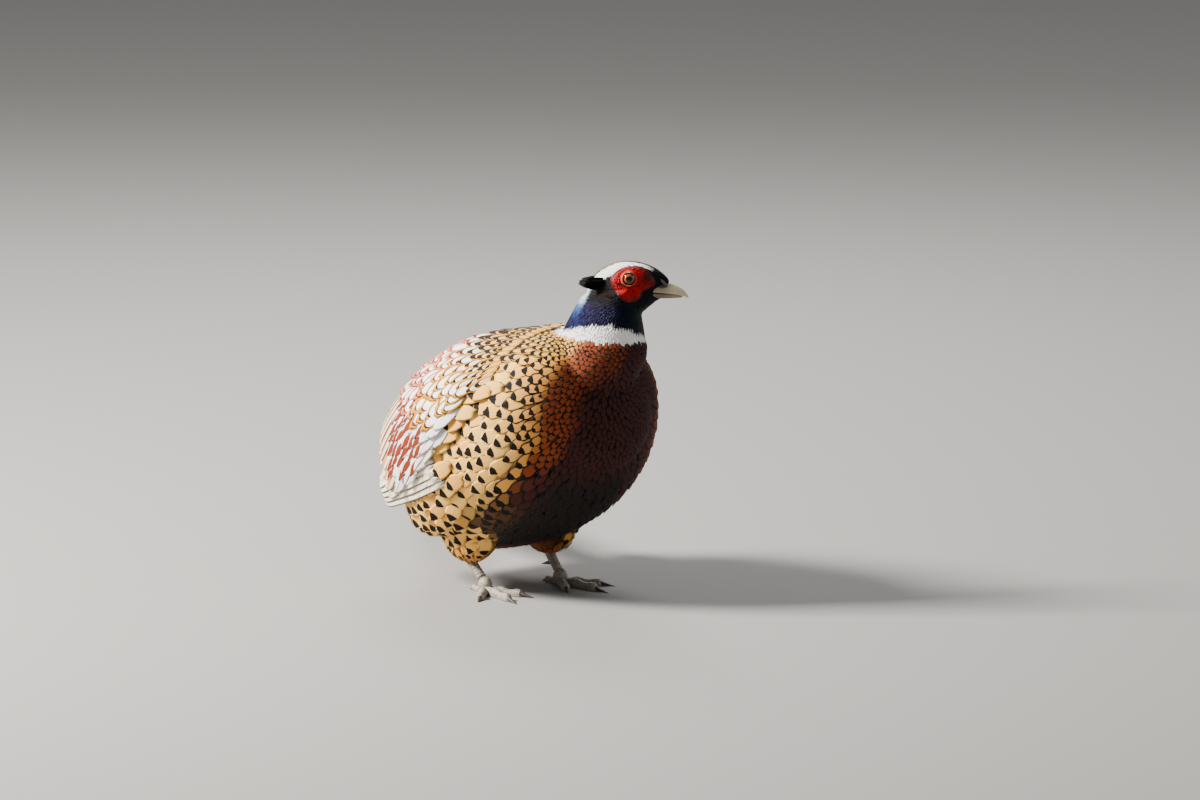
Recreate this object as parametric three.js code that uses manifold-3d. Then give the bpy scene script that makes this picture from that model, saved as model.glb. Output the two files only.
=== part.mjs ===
// A common pheasant cock at life size, fluffed up in a low crouch, its head turned to its left and
// its tail swung to the same side. Millimetres, +Z up, +X towards the breast, +Y to the bird's left.
// It stands on z = 0, and the origin is below the middle of its bounding box.
import * as THREE from "three";
import { mergeVertices } from "three/addons/utils/BufferGeometryUtils.js";
import Module from "manifold-3d";

const wasm = await Module();
wasm.setup();

const { Vector3, Matrix4 } = THREE;
const RADIANS = Math.PI / 180;
const RIGHT = -1;
const LEFT = 1;

// Driving dimensions
const GAP = 0.3; // between neighbouring pieces
const HEAD_TURN = 55 * RADIANS; // to the bird's left, away from the breast's direction
const TAIL_SWING = 35 * RADIANS; // to the bird's left, away from straight back

// The trunk is an egg lying on a sloping axis; x is measured from its widest ring.
const BODY = {
  height: 122, // of the axis over the floor at the widest ring
  slope: 0.3, // rise of the axis for each millimetre forward
  front: 124,
  rear: 124,
  halfWidth: 98,
  up: 90,
  down: 91,
  frontFullness: 2.3,
  shoulderFullness: 0.9, // more of it at the top of the front, below the neck
  rearFullness: 1.9,
  sectionFullness: 2.15,
  sway: 18, // how far the rump bends to the left
};

// The crop, a swelling of the breast that carries the neck
const CROP = { at: new Vector3(93, 6, 154), radii: new Vector3(39, 57, 54) };

const EYE = { radius: 5.9, socket: 6.2, forward: 0, side: 15.2 };
const HEAD_AT = new Vector3(114, 28, 268); // the point between the eyes
const NECK = {
  top: new Vector3(-10, 0, -12),
  middle: new Vector3(-20, 0, -38),
  base: new Vector3(-24, 0, -92),
  halves: [20, 26.5, 36, 38, 32], // its half depth from the top to the base
  flatness: 0.92, // its half width against that
  ringLow: -52, // the lower edge of the white ring, where the neck ends and the shoulders begin
};

const WING = {
  shellRear: 182,
  padThickness: 4.8,
  padEdge: 2.4,
  padFront: 60,
  padRear: -62,
  padTop: 10,
  padLow: 104,
  padSlant: 18, // how far its top edge falls towards the rear
};
const TAIL = {
  root: new Vector3(-112, 19, 98),
  length: 455,
  outerLength: 150,
  pairs: 9,
  halfWidth: 14,
  thickness: 0.6,
  layer: 1.8,
  roof: 0.004, // fall of the tail's cross-section with the square of the distance from its middle
};
const LEG = { side: 37, ankleX: 4, ankleHeight: 9, kneeX: -54, kneeHeight: 58 };

// Solids and surfaces

function solidOf(geometry) {
  const bare = geometry.clone();
  bare.deleteAttribute("normal");
  bare.deleteAttribute("uv");
  const merged = mergeVertices(bare, 1e-4);
  const triangles = new Uint32Array(merged.index.array);
  const make = () =>
    new wasm.Manifold(
      new wasm.Mesh({ numProp: 3, vertProperties: merged.attributes.position.array, triVerts: triangles }),
    );
  const made = make();
  if (made.volume() > 0) return made;
  for (let i = 0; i < triangles.length; i += 3) {
    [triangles[i + 1], triangles[i + 2]] = [triangles[i + 2], triangles[i + 1]];
  }
  return make();
}

function geometryOf(solid) {
  const mesh = solid.getMesh();
  const positions = new Float32Array(mesh.numVert * 3);
  for (let i = 0; i < mesh.numVert; i++) {
    positions.set(mesh.vertProperties.subarray(i * mesh.numProp, i * mesh.numProp + 3), i * 3);
  }
  const geometry = new THREE.BufferGeometry();
  geometry.setAttribute("position", new THREE.BufferAttribute(positions, 3));
  geometry.setIndex(new THREE.BufferAttribute(new Uint32Array(mesh.triVerts), 1));
  geometry.computeVertexNormals();
  return geometry;
}

const joined = (geometries) => geometries.map(solidOf).reduce((whole, piece) => whole.add(piece));

function largest(solid) {
  return solid.decompose().reduce((best, piece) => (piece.volume() > best.volume() ? piece : best));
}

// A closed round body: place(station, angle) gives its surface, from station 1 at one pole to -1.
function roundBody(around, along, place) {
  const geometry = new THREE.SphereGeometry(1, around, along);
  const position = geometry.attributes.position;
  for (let i = 0; i < position.count; i++) {
    const angle = Math.atan2(position.getZ(i), position.getX(i));
    position.setXYZ(i, ...place(position.getY(i), angle));
  }
  return geometry;
}

// A closed tube with flat ends along a curve; size(t) gives its half-sizes along side and across it.
function limb(curve, side, size, around, steps) {
  const geometry = new THREE.CylinderGeometry(1, 1, 1, around, steps);
  const position = geometry.attributes.position;
  for (let i = 0; i < position.count; i++) {
    const t = Math.min(1, Math.max(0, position.getY(i) + 0.5));
    const tangent = curve.getTangentAt(t);
    const first = side.clone().addScaledVector(tangent, -side.dot(tangent)).normalize();
    const second = first.clone().cross(tangent);
    const [a, b] = size(t);
    const point = curve
      .getPointAt(t)
      .addScaledVector(first, a * position.getX(i))
      .addScaledVector(second, b * position.getZ(i));
    position.setXYZ(i, point.x, point.y, point.z);
  }
  return geometry;
}

// A thin closed sheet: place(s, t, face) gives a point, s from 0 to 1, t from -1 to 1, face -1 or 1.
function sheet(columns, rows, place) {
  const positions = [];
  const index = [];
  const at = (i, j, face) => (face > 0 ? 0 : (columns + 1) * (rows + 1)) + i * (rows + 1) + j;
  const quad = (a, b, c, d) => index.push(a, b, c, a, c, d);
  for (const face of [1, -1]) {
    for (let i = 0; i <= columns; i++) {
      for (let j = 0; j <= rows; j++) {
        positions.push(...place(i / columns, (2 * j) / rows - 1, face));
      }
    }
  }
  for (let i = 0; i < columns; i++) {
    for (let j = 0; j < rows; j++) {
      const corners = [[i, j], [i + 1, j], [i + 1, j + 1], [i, j + 1]];
      const [a, b, c, d] = corners.map(([m, n]) => at(m, n, 1));
      const [e, f, g, h] = corners.map(([m, n]) => at(m, n, -1));
      index.push(a, b, c, a, c, d, e, g, f, e, h, g);
    }
  }
  for (let i = 0; i < columns; i++) {
    quad(at(i, 0, -1), at(i + 1, 0, -1), at(i + 1, 0, 1), at(i, 0, 1));
    quad(at(i + 1, rows, -1), at(i, rows, -1), at(i, rows, 1), at(i + 1, rows, 1));
  }
  for (let j = 0; j < rows; j++) {
    quad(at(0, j + 1, -1), at(0, j, -1), at(0, j, 1), at(0, j + 1, 1));
    quad(at(columns, j, -1), at(columns, j + 1, -1), at(columns, j + 1, 1), at(columns, j, 1));
  }
  const geometry = new THREE.BufferGeometry();
  geometry.setAttribute("position", new THREE.Float32BufferAttribute(positions, 3));
  geometry.setIndex(index);
  return geometry;
}

// A named mesh with its own finish
function piece(name, solid, colour, roughness = 0.8, metalness = 0) {
  const material = new THREE.MeshStandardMaterial({ color: colour, roughness, metalness });
  const mesh = new THREE.Mesh(geometryOf(solid), material);
  mesh.name = name;
  return mesh;
}

// Trunk

const power = (value, exponent) => Math.sign(value) * Math.abs(value) ** exponent;

function eggPoint(size, station, angle, grow = 0) {
  const reach = (station > 0 ? size.front : size.rear) + grow;
  const top = ((1 + Math.cos(angle)) / 2) ** 2;
  const fullness = station > 0 ? size.frontFullness + size.shoulderFullness * top : size.rearFullness;
  const ring = Math.max(0, 1 - Math.abs(station) ** fullness) ** (1 / fullness);
  const x = station * reach;
  const upward = power(Math.cos(angle), 2 / size.sectionFullness);
  const sideways = power(Math.sin(angle), 2 / size.sectionFullness);
  const back = Math.min(station, 0) * (size.rear / BODY.rear);
  const half = (upward > 0 ? size.up : size.down) + grow;
  return [
    x,
    size.sway * back * back + sideways * ring * (size.halfWidth + grow),
    size.height + size.slope * x + upward * ring * half,
  ];
}

const crop = () => ball(...CROP.at, ...CROP.radii, 18, 11);
const trunk = (grow) => roundBody(28, 18, (station, angle) => eggPoint(BODY, station, angle, grow));

// Head and neck, in the head's own frame: x towards the bill, the eyes level with z = 0

// Each row of a form is a station along x: x, top, bottom, half width.
const HEAD_ROWS = [
  [-34, -14, -20, 3],
  [-31, -4, -27, 10],
  [-23, 7.5, -34, 16],
  [-11, 12.8, -36, 18.2],
  [0, 14.2, -32, 18],
  [11, 12, -26.5, 15],
  [20, 7.2, -21.5, 10.6],
  [27, 1.8, -18, 6.2],
  [33, -3.3, -15.8, 2.8],
];
const UPPER_BILL_ROWS = [
  [15, -5, -11.4, 10.4],
  [22, -4, -11.9, 9.2],
  [30, -4, -12.4, 6.8],
  [38, -5.8, -13.2, 4.6],
  [44.5, -9, -14.6, 2.7],
  [48.5, -14.2, -16, 0.7],
];
const LOWER_BILL_ROWS = [
  [15, -11.7, -16.5, 9.8],
  [22, -12.2, -17.2, 8.6],
  [30, -12.7, -17, 6.2],
  [38, -13.5, -16.6, 4],
  [43.5, -14.6, -16, 1.6],
];
// How a form's cross-sections are rounded, and how high its widest level is, from 0 at the bottom to 1
const HEAD_SECTION = { roundness: 0.9, widest: 0.5 };
const UPPER_BILL_SECTION = { roundness: 0.95, widest: 0.14 };
const LOWER_BILL_SECTION = { roundness: 0.95, widest: 0.8 };

function stations(rows) {
  const column = (k) => new THREE.SplineCurve(rows.map((row) => new THREE.Vector2(row[0], row[k])));
  const curves = [1, 2, 3].map(column);
  return (t) => {
    const [top, bottom, side] = curves.map((curve) => curve.getPoint(t));
    return { x: top.x, top: top.y, bottom: bottom.y, side: side.y };
  };
}

// A closed form with flat ends through its rows, grown all round by grow
function stationForm(rows, { roundness, widest }, around, steps, grow = 0) {
  const sizeAt = stations(rows);
  const geometry = new THREE.CylinderGeometry(1, 1, 1, around, steps);
  const position = geometry.attributes.position;
  for (let i = 0; i < position.count; i++) {
    const t = Math.min(1, Math.max(0, position.getY(i) + 0.5));
    const size = sizeAt(t);
    const level = size.bottom + widest * (size.top - size.bottom);
    const angle = Math.atan2(position.getZ(i), position.getX(i));
    const reach = Math.hypot(position.getX(i), position.getZ(i));
    const upward = power(Math.cos(angle), roundness);
    const half = (upward > 0 ? size.top - level : level - size.bottom) + grow;
    const end = t < 1e-6 ? -grow : t > 1 - 1e-6 ? grow : 0;
    const sideways = power(Math.sin(angle), roundness) * (size.side + grow);
    position.setXYZ(i, size.x + end, sideways * reach, level + upward * half * reach);
  }
  return geometry;
}

const headForm = (grow = 0) => stationForm(HEAD_ROWS, HEAD_SECTION, 20, 14, grow);
const upperBillForm = (grow = 0) => stationForm(UPPER_BILL_ROWS, UPPER_BILL_SECTION, 12, 9, grow);
const lowerBillForm = (grow = 0) => stationForm(LOWER_BILL_ROWS, LOWER_BILL_SECTION, 12, 8, grow);
const headAt = stations(HEAD_ROWS);

// Half width of the head's side at a point of its side view
function headSide(x, z) {
  let low = 0;
  let high = 1;
  for (let i = 0; i < 24; i++) {
    const t = (low + high) / 2;
    if (headAt(t).x < x) low = t;
    else high = t;
  }
  const size = headAt(low);
  const level = size.bottom + HEAD_SECTION.widest * (size.top - size.bottom);
  const off = Math.min(0.97, Math.abs(z - level) / (z > level ? size.top - level : level - size.bottom));
  return size.side * (1 - off ** (2 / HEAD_SECTION.roundness)) ** (HEAD_SECTION.roundness / 2);
}

function ball(x, y, z, a, b, c, around = 14, along = 9) {
  return new THREE.SphereGeometry(1, around, along).scale(a, b, c).translate(x, y, z);
}

// The soft flap over a nostril, grown all round by grow, and the slit below it
const nostrilFlap = (side, grow = 0) =>
  ball(26.5, side * 4.9, -3.6, 5 + grow, 2.1 + grow, 2.7 + grow, 8, 6).rotateZ(-side * 0.1);
const nostrilSlit = (side) => ball(29.5, side * 5.6, -6.1, 3, 1.7, 0.8, 8, 6);

function upperBill(grow = 0) {
  const flaps = [RIGHT, LEFT].map((side) => nostrilFlap(side, grow));
  return joined([upperBillForm(grow), ...flaps]);
}

function neckForm(grow = 0) {
  const curve = new THREE.CatmullRomCurve3([NECK.base, NECK.middle, NECK.top]);
  const last = NECK.halves.length - 1;
  const halves = new THREE.SplineCurve(NECK.halves.map((half, k) => new THREE.Vector2(last - k, half)));
  const size = (t) => {
    const half = halves.getPoint(1 - t).y;
    return [half + grow, half * NECK.flatness + grow];
  };
  return limb(curve, new Vector3(1, 0, 0), size, 22, 8);
}

const eyeBall = (side, radius) => ball(EYE.forward, side * EYE.side, 0, radius, radius, radius, 16, 10);

// The red skin round the eye: radii of its outline, every 30 degrees from the bill upwards.
const WATTLE = {
  radii: [21, 13.6, 10, 9.3, 9.8, 11.4, 13.6, 14.6, 16.2, 19.4, 19, 19.6],
  inner: 4.9,
  around: 26,
  rings: 3,
  lid: 1.9,
  edge: 0.7,
  skin: 1.6,
  bulb: 0.6,
};

function wattleRadius(angle) {
  const turn = (((angle / (2 * Math.PI)) % 1) + 1) % 1;
  const count = WATTLE.radii.length;
  const place = turn * count;
  const k = Math.floor(place);
  const f = place - k;
  const [a, b, c, d] = [-1, 0, 1, 2].map((step) => WATTLE.radii[(k + step + count) % count]);
  return b + 0.5 * f * (c - a + f * (2 * a - 5 * b + 4 * c - d + f * (3 * (b - c) + d - a)));
}

// A ring of skin on the head's side, raised into the lid's rim inside and into bulbs outside it.
function wattleForm(side) {
  const { around, rings } = WATTLE;
  const random = seeded(5);
  const positions = [];
  const index = [];
  const at = (i, j, face) => ((i % around) * (rings + 1) + j) * 2 + face;
  for (let i = 0; i < around; i++) {
    const angle = (2 * Math.PI * i) / around;
    for (let j = 0; j <= rings; j++) {
      const radius = WATTLE.inner + (wattleRadius(angle) - WATTLE.inner) * (j / rings);
      const x = EYE.forward + radius * Math.cos(angle);
      const z = radius * Math.sin(angle);
      const bulb = WATTLE.bulb * (2 * random() - 1);
      const raised = j === 0 ? WATTLE.lid : j === rings ? WATTLE.edge : WATTLE.skin + bulb;
      const skin = headSide(x, z);
      positions.push(x, side * (skin - 3), z, x, side * (skin + GAP + raised), z);
    }
  }
  for (let i = 0; i < around; i++) {
    for (let j = 0; j < rings; j++) {
      const [a, b, c, d] = [at(i, j, 1), at(i + 1, j, 1), at(i + 1, j + 1, 1), at(i, j + 1, 1)];
      index.push(a, b, c, a, c, d, a - 1, c - 1, b - 1, a - 1, d - 1, c - 1);
    }
    for (const [j, turn] of [[0, 1], [rings, -1]]) {
      const [a, b] = [at(i, j, 1), at(i + 1, j, 1)];
      if (turn > 0) index.push(a, a - 1, b - 1, a, b - 1, b);
      else index.push(a, b - 1, a - 1, a, b, b - 1);
    }
  }
  const geometry = new THREE.BufferGeometry();
  geometry.setAttribute("position", new THREE.Float32BufferAttribute(positions, 3));
  geometry.setIndex(index);
  return geometry;
}

const TUFT = { height: -4.4, halfWidth: 2.5, thickness: 1.3 };

// Feathers

// How wide a vane is along its length, against its full width
function vaneOutline(s) {
  const root = 0.5 + 0.5 * Math.min(1, s / 0.4) ** 0.8;
  const tip = s < 0.55 ? 1 : Math.sqrt(Math.max(0, 1 - ((s - 0.55) / 0.47) ** 2));
  return Math.max(0.14, root * tip);
}

// A vane along frameAt(s), which gives its middle line, the way across and the way out.
function vane(frameAt, halfWidth, { steps, rows = 1, thickness = 0.7, camber = 0, tilt = 0 }) {
  return sheet(steps, rows, (part, t, face) => {
    const s = Math.sin((part * Math.PI) / 2);
    const { point, across, out } = frameAt(s);
    const width = halfWidth * vaneOutline(s);
    const lift = camber * (1 - t * t) + tilt * t + (face * thickness) / 2;
    return point.clone().addScaledVector(across, t * width).addScaledVector(out, lift);
  });
}

// The tufts behind the ears, blunt locks that point backwards

function earTuft(side) {
  const locks = [-1, 0, 1].map((k) => {
    const frameAt = (s) => ({
      point: new Vector3(-21 - 20 * s, side * (14.4 + 1.6 * s), TUFT.height + k * (1.8 - 0.6 * s)),
      across: new Vector3(0, -0.25 * side, 1).normalize(),
      out: new Vector3(0, side, 0.25).normalize(),
    });
    const form = { steps: 3, rows: 2, thickness: TUFT.thickness, camber: 0.5, tilt: 0.3 * k };
    return vane(frameAt, TUFT.halfWidth, form);
  });
  return joined([ball(-22, side * 13, TUFT.height, 5, 4.4, 4.6, 10, 7), ...locks]);
}

// Wings

const wingShell = { ...BODY, rear: WING.shellRear };

// A frame on the folded wing's smooth shell, lift out from it; angle 0 is the back's ridge.
function shellFrame(side, x, angle, lift) {
  const at = (px, pa) => {
    const station = px / (px > 0 ? wingShell.front : wingShell.rear);
    return new Vector3(...eggPoint(wingShell, Math.max(-0.98, station), side * pa));
  };
  const point = at(x, angle);
  const along = at(x - 0.5, angle).sub(at(x + 0.5, angle)).normalize();
  const around = at(x, angle + 0.005).sub(at(x, angle - 0.005)).normalize();
  const out = around.clone().cross(along).multiplyScalar(side).normalize();
  if (out.dot(point.clone().sub(new Vector3(x, 0, BODY.height + BODY.slope * x))) < 0) out.negate();
  return { point: point.addScaledVector(out, lift), across: around, out };
}

// Tiers of a wing, from the scapulars to the primaries. Each pair gives the uppermost and the lowest vane.
// x and angle place root and tip, width is half a vane's, lift the height over the shell at root and tip.
const TIERS = [
  { count: 5, rootX: [44, 40], tipX: [4, -2], root: [17, 62], tip: [20, 61], width: 12, lift: [3.2, 7] },
  { count: 5, rootX: [14, 8], tipX: [-30, -34], root: [20, 66], tip: [24, 66], width: 12.5, lift: [3.2, 7] },
  { count: 4, rootX: [30, 18], tipX: [-10, -18], root: [70, 94], tip: [72, 94], width: 8.5, lift: [2.8, 6.4] },
  { count: 5, rootX: [-4, -8], tipX: [-52, -48], root: [70, 98], tip: [71, 98], width: 9, lift: [2.8, 6.8] },
  { count: 4, rootX: [-26, -30], tipX: [-102, -114], root: [28, 54], tip: [34, 61], width: 11.5, lift: [2.6, 3.4] },
  { count: 5, rootX: [-34, -38], tipX: [-116, -132], root: [58, 84], tip: [66, 93], width: 9, lift: [2, 1.6] },
  { count: 3, rootX: [-38, -42], tipX: [-132, -124], root: [89, 99], tip: [97, 108], width: 7.5, lift: [1.4, 0] },
];
const VANE_RISE = 1.1; // from one vane of a tier up to the next

function wingVanes(side) {
  const random = seeded(side > 0 ? 11 : 7);
  const vanes = [];
  for (const tier of TIERS) {
    const arc = Math.abs(tier.tip[1] - tier.tip[0]) * RADIANS * BODY.halfWidth * 0.9;
    const tilt = (-VANE_RISE * tier.width * (tier.count - 1)) / arc;
    for (let k = 0; k < tier.count; k++) {
      const mix = ([first, last]) => first + ((last - first) * k) / (tier.count - 1);
      const rootX = mix(tier.rootX);
      const tipX = mix(tier.tipX) + 3 * (random() - 0.5);
      const [low, high] = tier.lift;
      const frameAt = (s) => {
        const angle = mix(tier.root) + (mix(tier.tip) - mix(tier.root)) * s;
        return shellFrame(side, rootX + (tipX - rootX) * s, angle * RADIANS, low + (high - low) * s);
      };
      vanes.push(vane(frameAt, tier.width, { tilt, steps: Math.round(1.2 + (rootX - tipX) / 32) }));
    }
  }
  return vanes;
}

function seeded(seed) {
  let state = seed;
  return () => {
    state = (state * 16807) % 2147483647;
    return state / 2147483647;
  };
}

// The wing's own body, from the shoulder to the roots of the long feathers
function wingPad(side) {
  return sheet(8, 6, (s, t, face) => {
    const x = WING.padFront + (WING.padRear - WING.padFront) * s;
    const top = WING.padTop + WING.padSlant * Math.max(0, 2 * s - 1) ** 2;
    const middle = (top + WING.padLow) / 2;
    const half = ((WING.padLow - top) / 2) * (0.3 + 0.7 * Math.sin((Math.PI / 2) * Math.min(1, s * 2.5)));
    const angle = (middle + half * t) * RADIANS;
    const full = (1 - t ** 8) * (1 - (1 - s) ** 8);
    if (face > 0) {
      return shellFrame(side, x, angle, WING.padEdge + (WING.padThickness - WING.padEdge) * full).point;
    }
    const core = new Vector3(x, 0, BODY.height + BODY.slope * x);
    const station = x / (x > 0 ? BODY.front : BODY.rear);
    return new Vector3(...eggPoint(BODY, station, side * angle)).lerp(core, 0.04);
  });
}

function wing(side) {
  return largest(joined([wingPad(side), ...wingVanes(side)]).subtract(solidOf(trunk(GAP))));
}

// Tail, in its own frame: x along its length, z up, from its root on the rump

const tailDrop = TAIL.root.z + 1.2;

function tailHeight(x) {
  const s = x / TAIL.length;
  return -tailDrop * (1.36 * s - 0.36 * s * s);
}

function tailVane(length, halfWidth, offset, splay, layer, start) {
  const steps = Math.round(2 + length / 125);
  const floor = -TAIL.root.z;
  return sheet(steps, 1, (part, t, face) => {
    const s = Math.sin((part * Math.PI) / 2) * 0.6 + part * 0.4;
    const taper = 1 - 0.62 * s;
    const tip = s < 0.9 ? 1 : Math.sqrt(Math.max(0, 1 - ((s - 0.9) / 0.102) ** 2));
    const width = halfWidth * Math.max(0.08, (0.55 + 0.45 * Math.min(1, s / 0.12)) * taper * tip);
    const x = start + (length - start) * s;
    const y = offset + x * Math.tan(splay) + t * width;
    const z = tailHeight(x) - TAIL.roof * y * y + layer + (face * TAIL.thickness) / 2;
    const lowest = floor + (face > 0 ? TAIL.thickness : 0);
    return new Vector3(x, y, Math.max(z, lowest));
  });
}

function tail() {
  const pieces = [ball(14, 0, -9, 34, 17, 12, 12, 8)];
  for (let k = 0; k < TAIL.pairs; k++) {
    const f = k / (TAIL.pairs - 1);
    const length = TAIL.length - (TAIL.length - TAIL.outerLength) * f ** 1.1;
    for (const side of [LEFT, RIGHT]) {
      const layer = -TAIL.layer * k + (side > 0 ? 0 : TAIL.layer / 2);
      const splay = side * (0.35 + 1.15 * k) * RADIANS;
      pieces.push(tailVane(length, TAIL.halfWidth - 2.5 * f, side * (3 + 0.7 * k), splay, layer, 2));
    }
  }
  for (const [row, count, length] of [[0, 5, 92], [1, 4, 62]]) {
    for (let k = 0; k < count; k++) {
      const f = k / (count - 1) - 0.5;
      const layer = 3 + 2.6 * row + 1.3 * (k % 2);
      pieces.push(tailVane(length, 11, f * 20, f * 9 * RADIANS, layer, -6 + 4 * row));
    }
  }
  return joined(pieces);
}

// Legs and feet

// A toe lies on the floor: s runs from its root to the tip of its claw.
function toe(length, halfWidth, height, heading, from) {
  const form = new THREE.CylinderGeometry(1, 1, 1, 6, 7);
  const position = form.attributes.position;
  const claw = 0.76;
  for (let i = 0; i < position.count; i++) {
    const s = position.getY(i) + 0.5;
    const joint = 1 + 0.12 * Math.cos(s * 6 * Math.PI);
    const flesh = s < claw ? (1 - 0.35 * s) * joint : 0.42 * (1 - (s - claw) / (1.08 - claw));
    const w = position.getX(i) * halfWidth * flesh;
    const h = (Math.max(0, position.getZ(i) + 0.49) / 1.49) * height * flesh;
    position.setXYZ(i, s * length, -w, h);
  }
  return form.rotateZ(heading).translate(from.x, from.y, 0);
}

const ankle = (side, grow = 0) =>
  ball(LEG.ankleX, side * LEG.side, 7, 6.6 + grow, 5.6 + grow, 7 + grow, 12, 8);

function foot(side) {
  const from = new Vector3(LEG.ankleX, side * LEG.side, 0);
  const out = side * 8 * RADIANS;
  return joined([
    ankle(side),
    toe(58, 4, 7.4, out, from),
    toe(46, 3.8, 7, out + 34 * RADIANS, from),
    toe(43, 3.8, 7, out - 34 * RADIANS, from),
    toe(24, 3, 5.6, Math.PI + out * 0.4, from),
  ]);
}

const thighForm = (side, grow = 0) =>
  ball(-16, side * 38, 54, 34 + grow, 24 + grow, 34 + grow, 24, 16);

function shank(side) {
  const low = new Vector3(LEG.ankleX, side * LEG.side, LEG.ankleHeight);
  const high = new Vector3(LEG.kneeX, side * (LEG.side + 5), LEG.kneeHeight);
  const line = new THREE.LineCurve3(low, high);
  const size = (t) => [3.9 + 1.4 * t, 3.4 + 1.2 * t];
  const spur = new THREE.ConeGeometry(2.6, 12, 8)
    .applyQuaternion(new THREE.Quaternion().setFromUnitVectors(new Vector3(0, 1, 0), spurWay(side)))
    .translate(...low.clone().lerp(high, 0.17).addScaledVector(spurWay(side), 6));
  return largest(
    joined([limb(line, new Vector3(0, 1, 0), size, 12, 4), spur])
      .subtract(solidOf(ankle(side, GAP)))
      .subtract(solidOf(thighForm(side, GAP)))
      .subtract(solidOf(trunk(GAP))),
  );
}

const spurWay = (side) => new Vector3(-0.84, -0.46 * side, -0.22).normalize();

// The whole bird

const headTurn = new Matrix4().makeRotationZ(HEAD_TURN).setPosition(HEAD_AT);
const tailTurn = new Matrix4().makeRotationZ(Math.PI - TAIL_SWING).setPosition(TAIL.root);
const trunkIn = (frame) => solidOf(trunk(GAP).applyMatrix4(frame.clone().invert()));
const turned = (frame) => {
  const group = new THREE.Group();
  group.applyMatrix4(frame);
  return group;
};

const bird = new THREE.Group();
const headGroup = turned(headTurn);
const tailGroup = turned(tailTurn);
bird.add(headGroup, tailGroup);

// What lies below the ring's lower edge, as a box in the head's frame
const underRing = (top) => new THREE.BoxGeometry(400, 400, 200).translate(0, 0, top - 100);

const billCut = upperBill(GAP).add(solidOf(lowerBillForm(GAP)));
const sockets = solidOf(eyeBall(RIGHT, EYE.socket)).add(solidOf(eyeBall(LEFT, EYE.socket)));
const head = solidOf(headForm()).subtract(billCut).subtract(sockets);
const grownHead = solidOf(headForm(GAP));
const grownNeck = solidOf(neckForm(GAP));
const neck = solidOf(neckForm())
  .subtract(grownHead)
  .subtract(solidOf(underRing(NECK.ringLow)))
  .subtract(trunkIn(headTurn));
const shoulders = geometryOf(solidOf(neckForm()).intersect(solidOf(underRing(NECK.ringLow - GAP))));
const torso = solidOf(trunk(0)).add(solidOf(shoulders.applyMatrix4(headTurn))).add(solidOf(crop()));

bird.add(piece("torso", largest(torso), 0xb5702e));
headGroup.add(piece("head", largest(head), 0x24202a, 0.7));
headGroup.add(piece("neck", largest(neck), 0x1b2046, 0.5));
const slits = joined([RIGHT, LEFT].map(nostrilSlit));
headGroup.add(piece("bill_upper", largest(upperBill().subtract(slits)), 0xd8cfae, 0.45));
headGroup.add(piece("bill_lower", solidOf(lowerBillForm()), 0xc9bf9c, 0.45));
tailGroup.add(piece("tail", largest(tail().subtract(trunkIn(tailTurn))), 0x9a7744));

for (const [side, word] of [[RIGHT, "right"], [LEFT, "left"]]) {
  headGroup.add(piece("eye_" + word, solidOf(eyeBall(side, EYE.radius)), 0x4a1c10, 0.15));
  const skin = solidOf(wattleForm(side)).subtract(grownHead).subtract(sockets).subtract(billCut)
    .subtract(grownNeck);
  const tuft = earTuft(side).subtract(grownHead).subtract(grownNeck);
  headGroup.add(piece("wattle_" + word, largest(skin), 0xb01510, 0.6));
  headGroup.add(piece("ear_tuft_" + word, largest(tuft), 0x0b0b14, 0.7));
  bird.add(piece("wing_" + word, wing(side), 0xd8b79a));
  const thigh = solidOf(thighForm(side)).subtract(solidOf(trunk(GAP)));
  bird.add(piece("thigh_" + word, largest(thigh), 0x5a3a22));
  bird.add(piece("shank_" + word, shank(side), 0x8c8478, 0.6));
  bird.add(piece("foot_" + word, foot(side), 0x8c8478, 0.6));
}

bird.updateMatrixWorld(true);
const box = new THREE.Box3().setFromObject(bird, true);
const centre = box.getCenter(new Vector3());
bird.position.set(-centre.x, -centre.y, 0);

export default bird;
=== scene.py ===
import math
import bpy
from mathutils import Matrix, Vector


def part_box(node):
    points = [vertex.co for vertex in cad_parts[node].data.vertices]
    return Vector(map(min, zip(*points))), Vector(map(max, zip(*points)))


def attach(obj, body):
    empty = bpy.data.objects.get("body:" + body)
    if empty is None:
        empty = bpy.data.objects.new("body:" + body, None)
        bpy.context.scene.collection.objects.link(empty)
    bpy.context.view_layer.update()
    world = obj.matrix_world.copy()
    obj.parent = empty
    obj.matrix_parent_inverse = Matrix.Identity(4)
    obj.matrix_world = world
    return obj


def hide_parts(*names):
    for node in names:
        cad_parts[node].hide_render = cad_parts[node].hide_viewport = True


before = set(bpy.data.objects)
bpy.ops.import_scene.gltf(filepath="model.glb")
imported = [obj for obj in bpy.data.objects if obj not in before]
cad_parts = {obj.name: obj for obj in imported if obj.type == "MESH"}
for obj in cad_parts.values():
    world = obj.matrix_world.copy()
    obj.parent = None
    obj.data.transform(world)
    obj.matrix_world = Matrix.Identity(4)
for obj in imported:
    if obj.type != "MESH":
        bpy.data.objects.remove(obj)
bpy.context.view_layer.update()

from types import SimpleNamespace

import bmesh
import bpy
import numpy as np
from mathutils import Matrix, Vector, noise
from mathutils.bvhtree import BVHTree
from mathutils.kdtree import KDTree

# A common pheasant cock at life size. Shapes are worked out in millimetres in the bird's own frame,
# +X towards the breast, +Y to its left, +Z up, and are moved into the row frame when a piece is settled.

RIGHT = -1
LEFT = 1
WORDS = {RIGHT: "right", LEFT: "left"}

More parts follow.
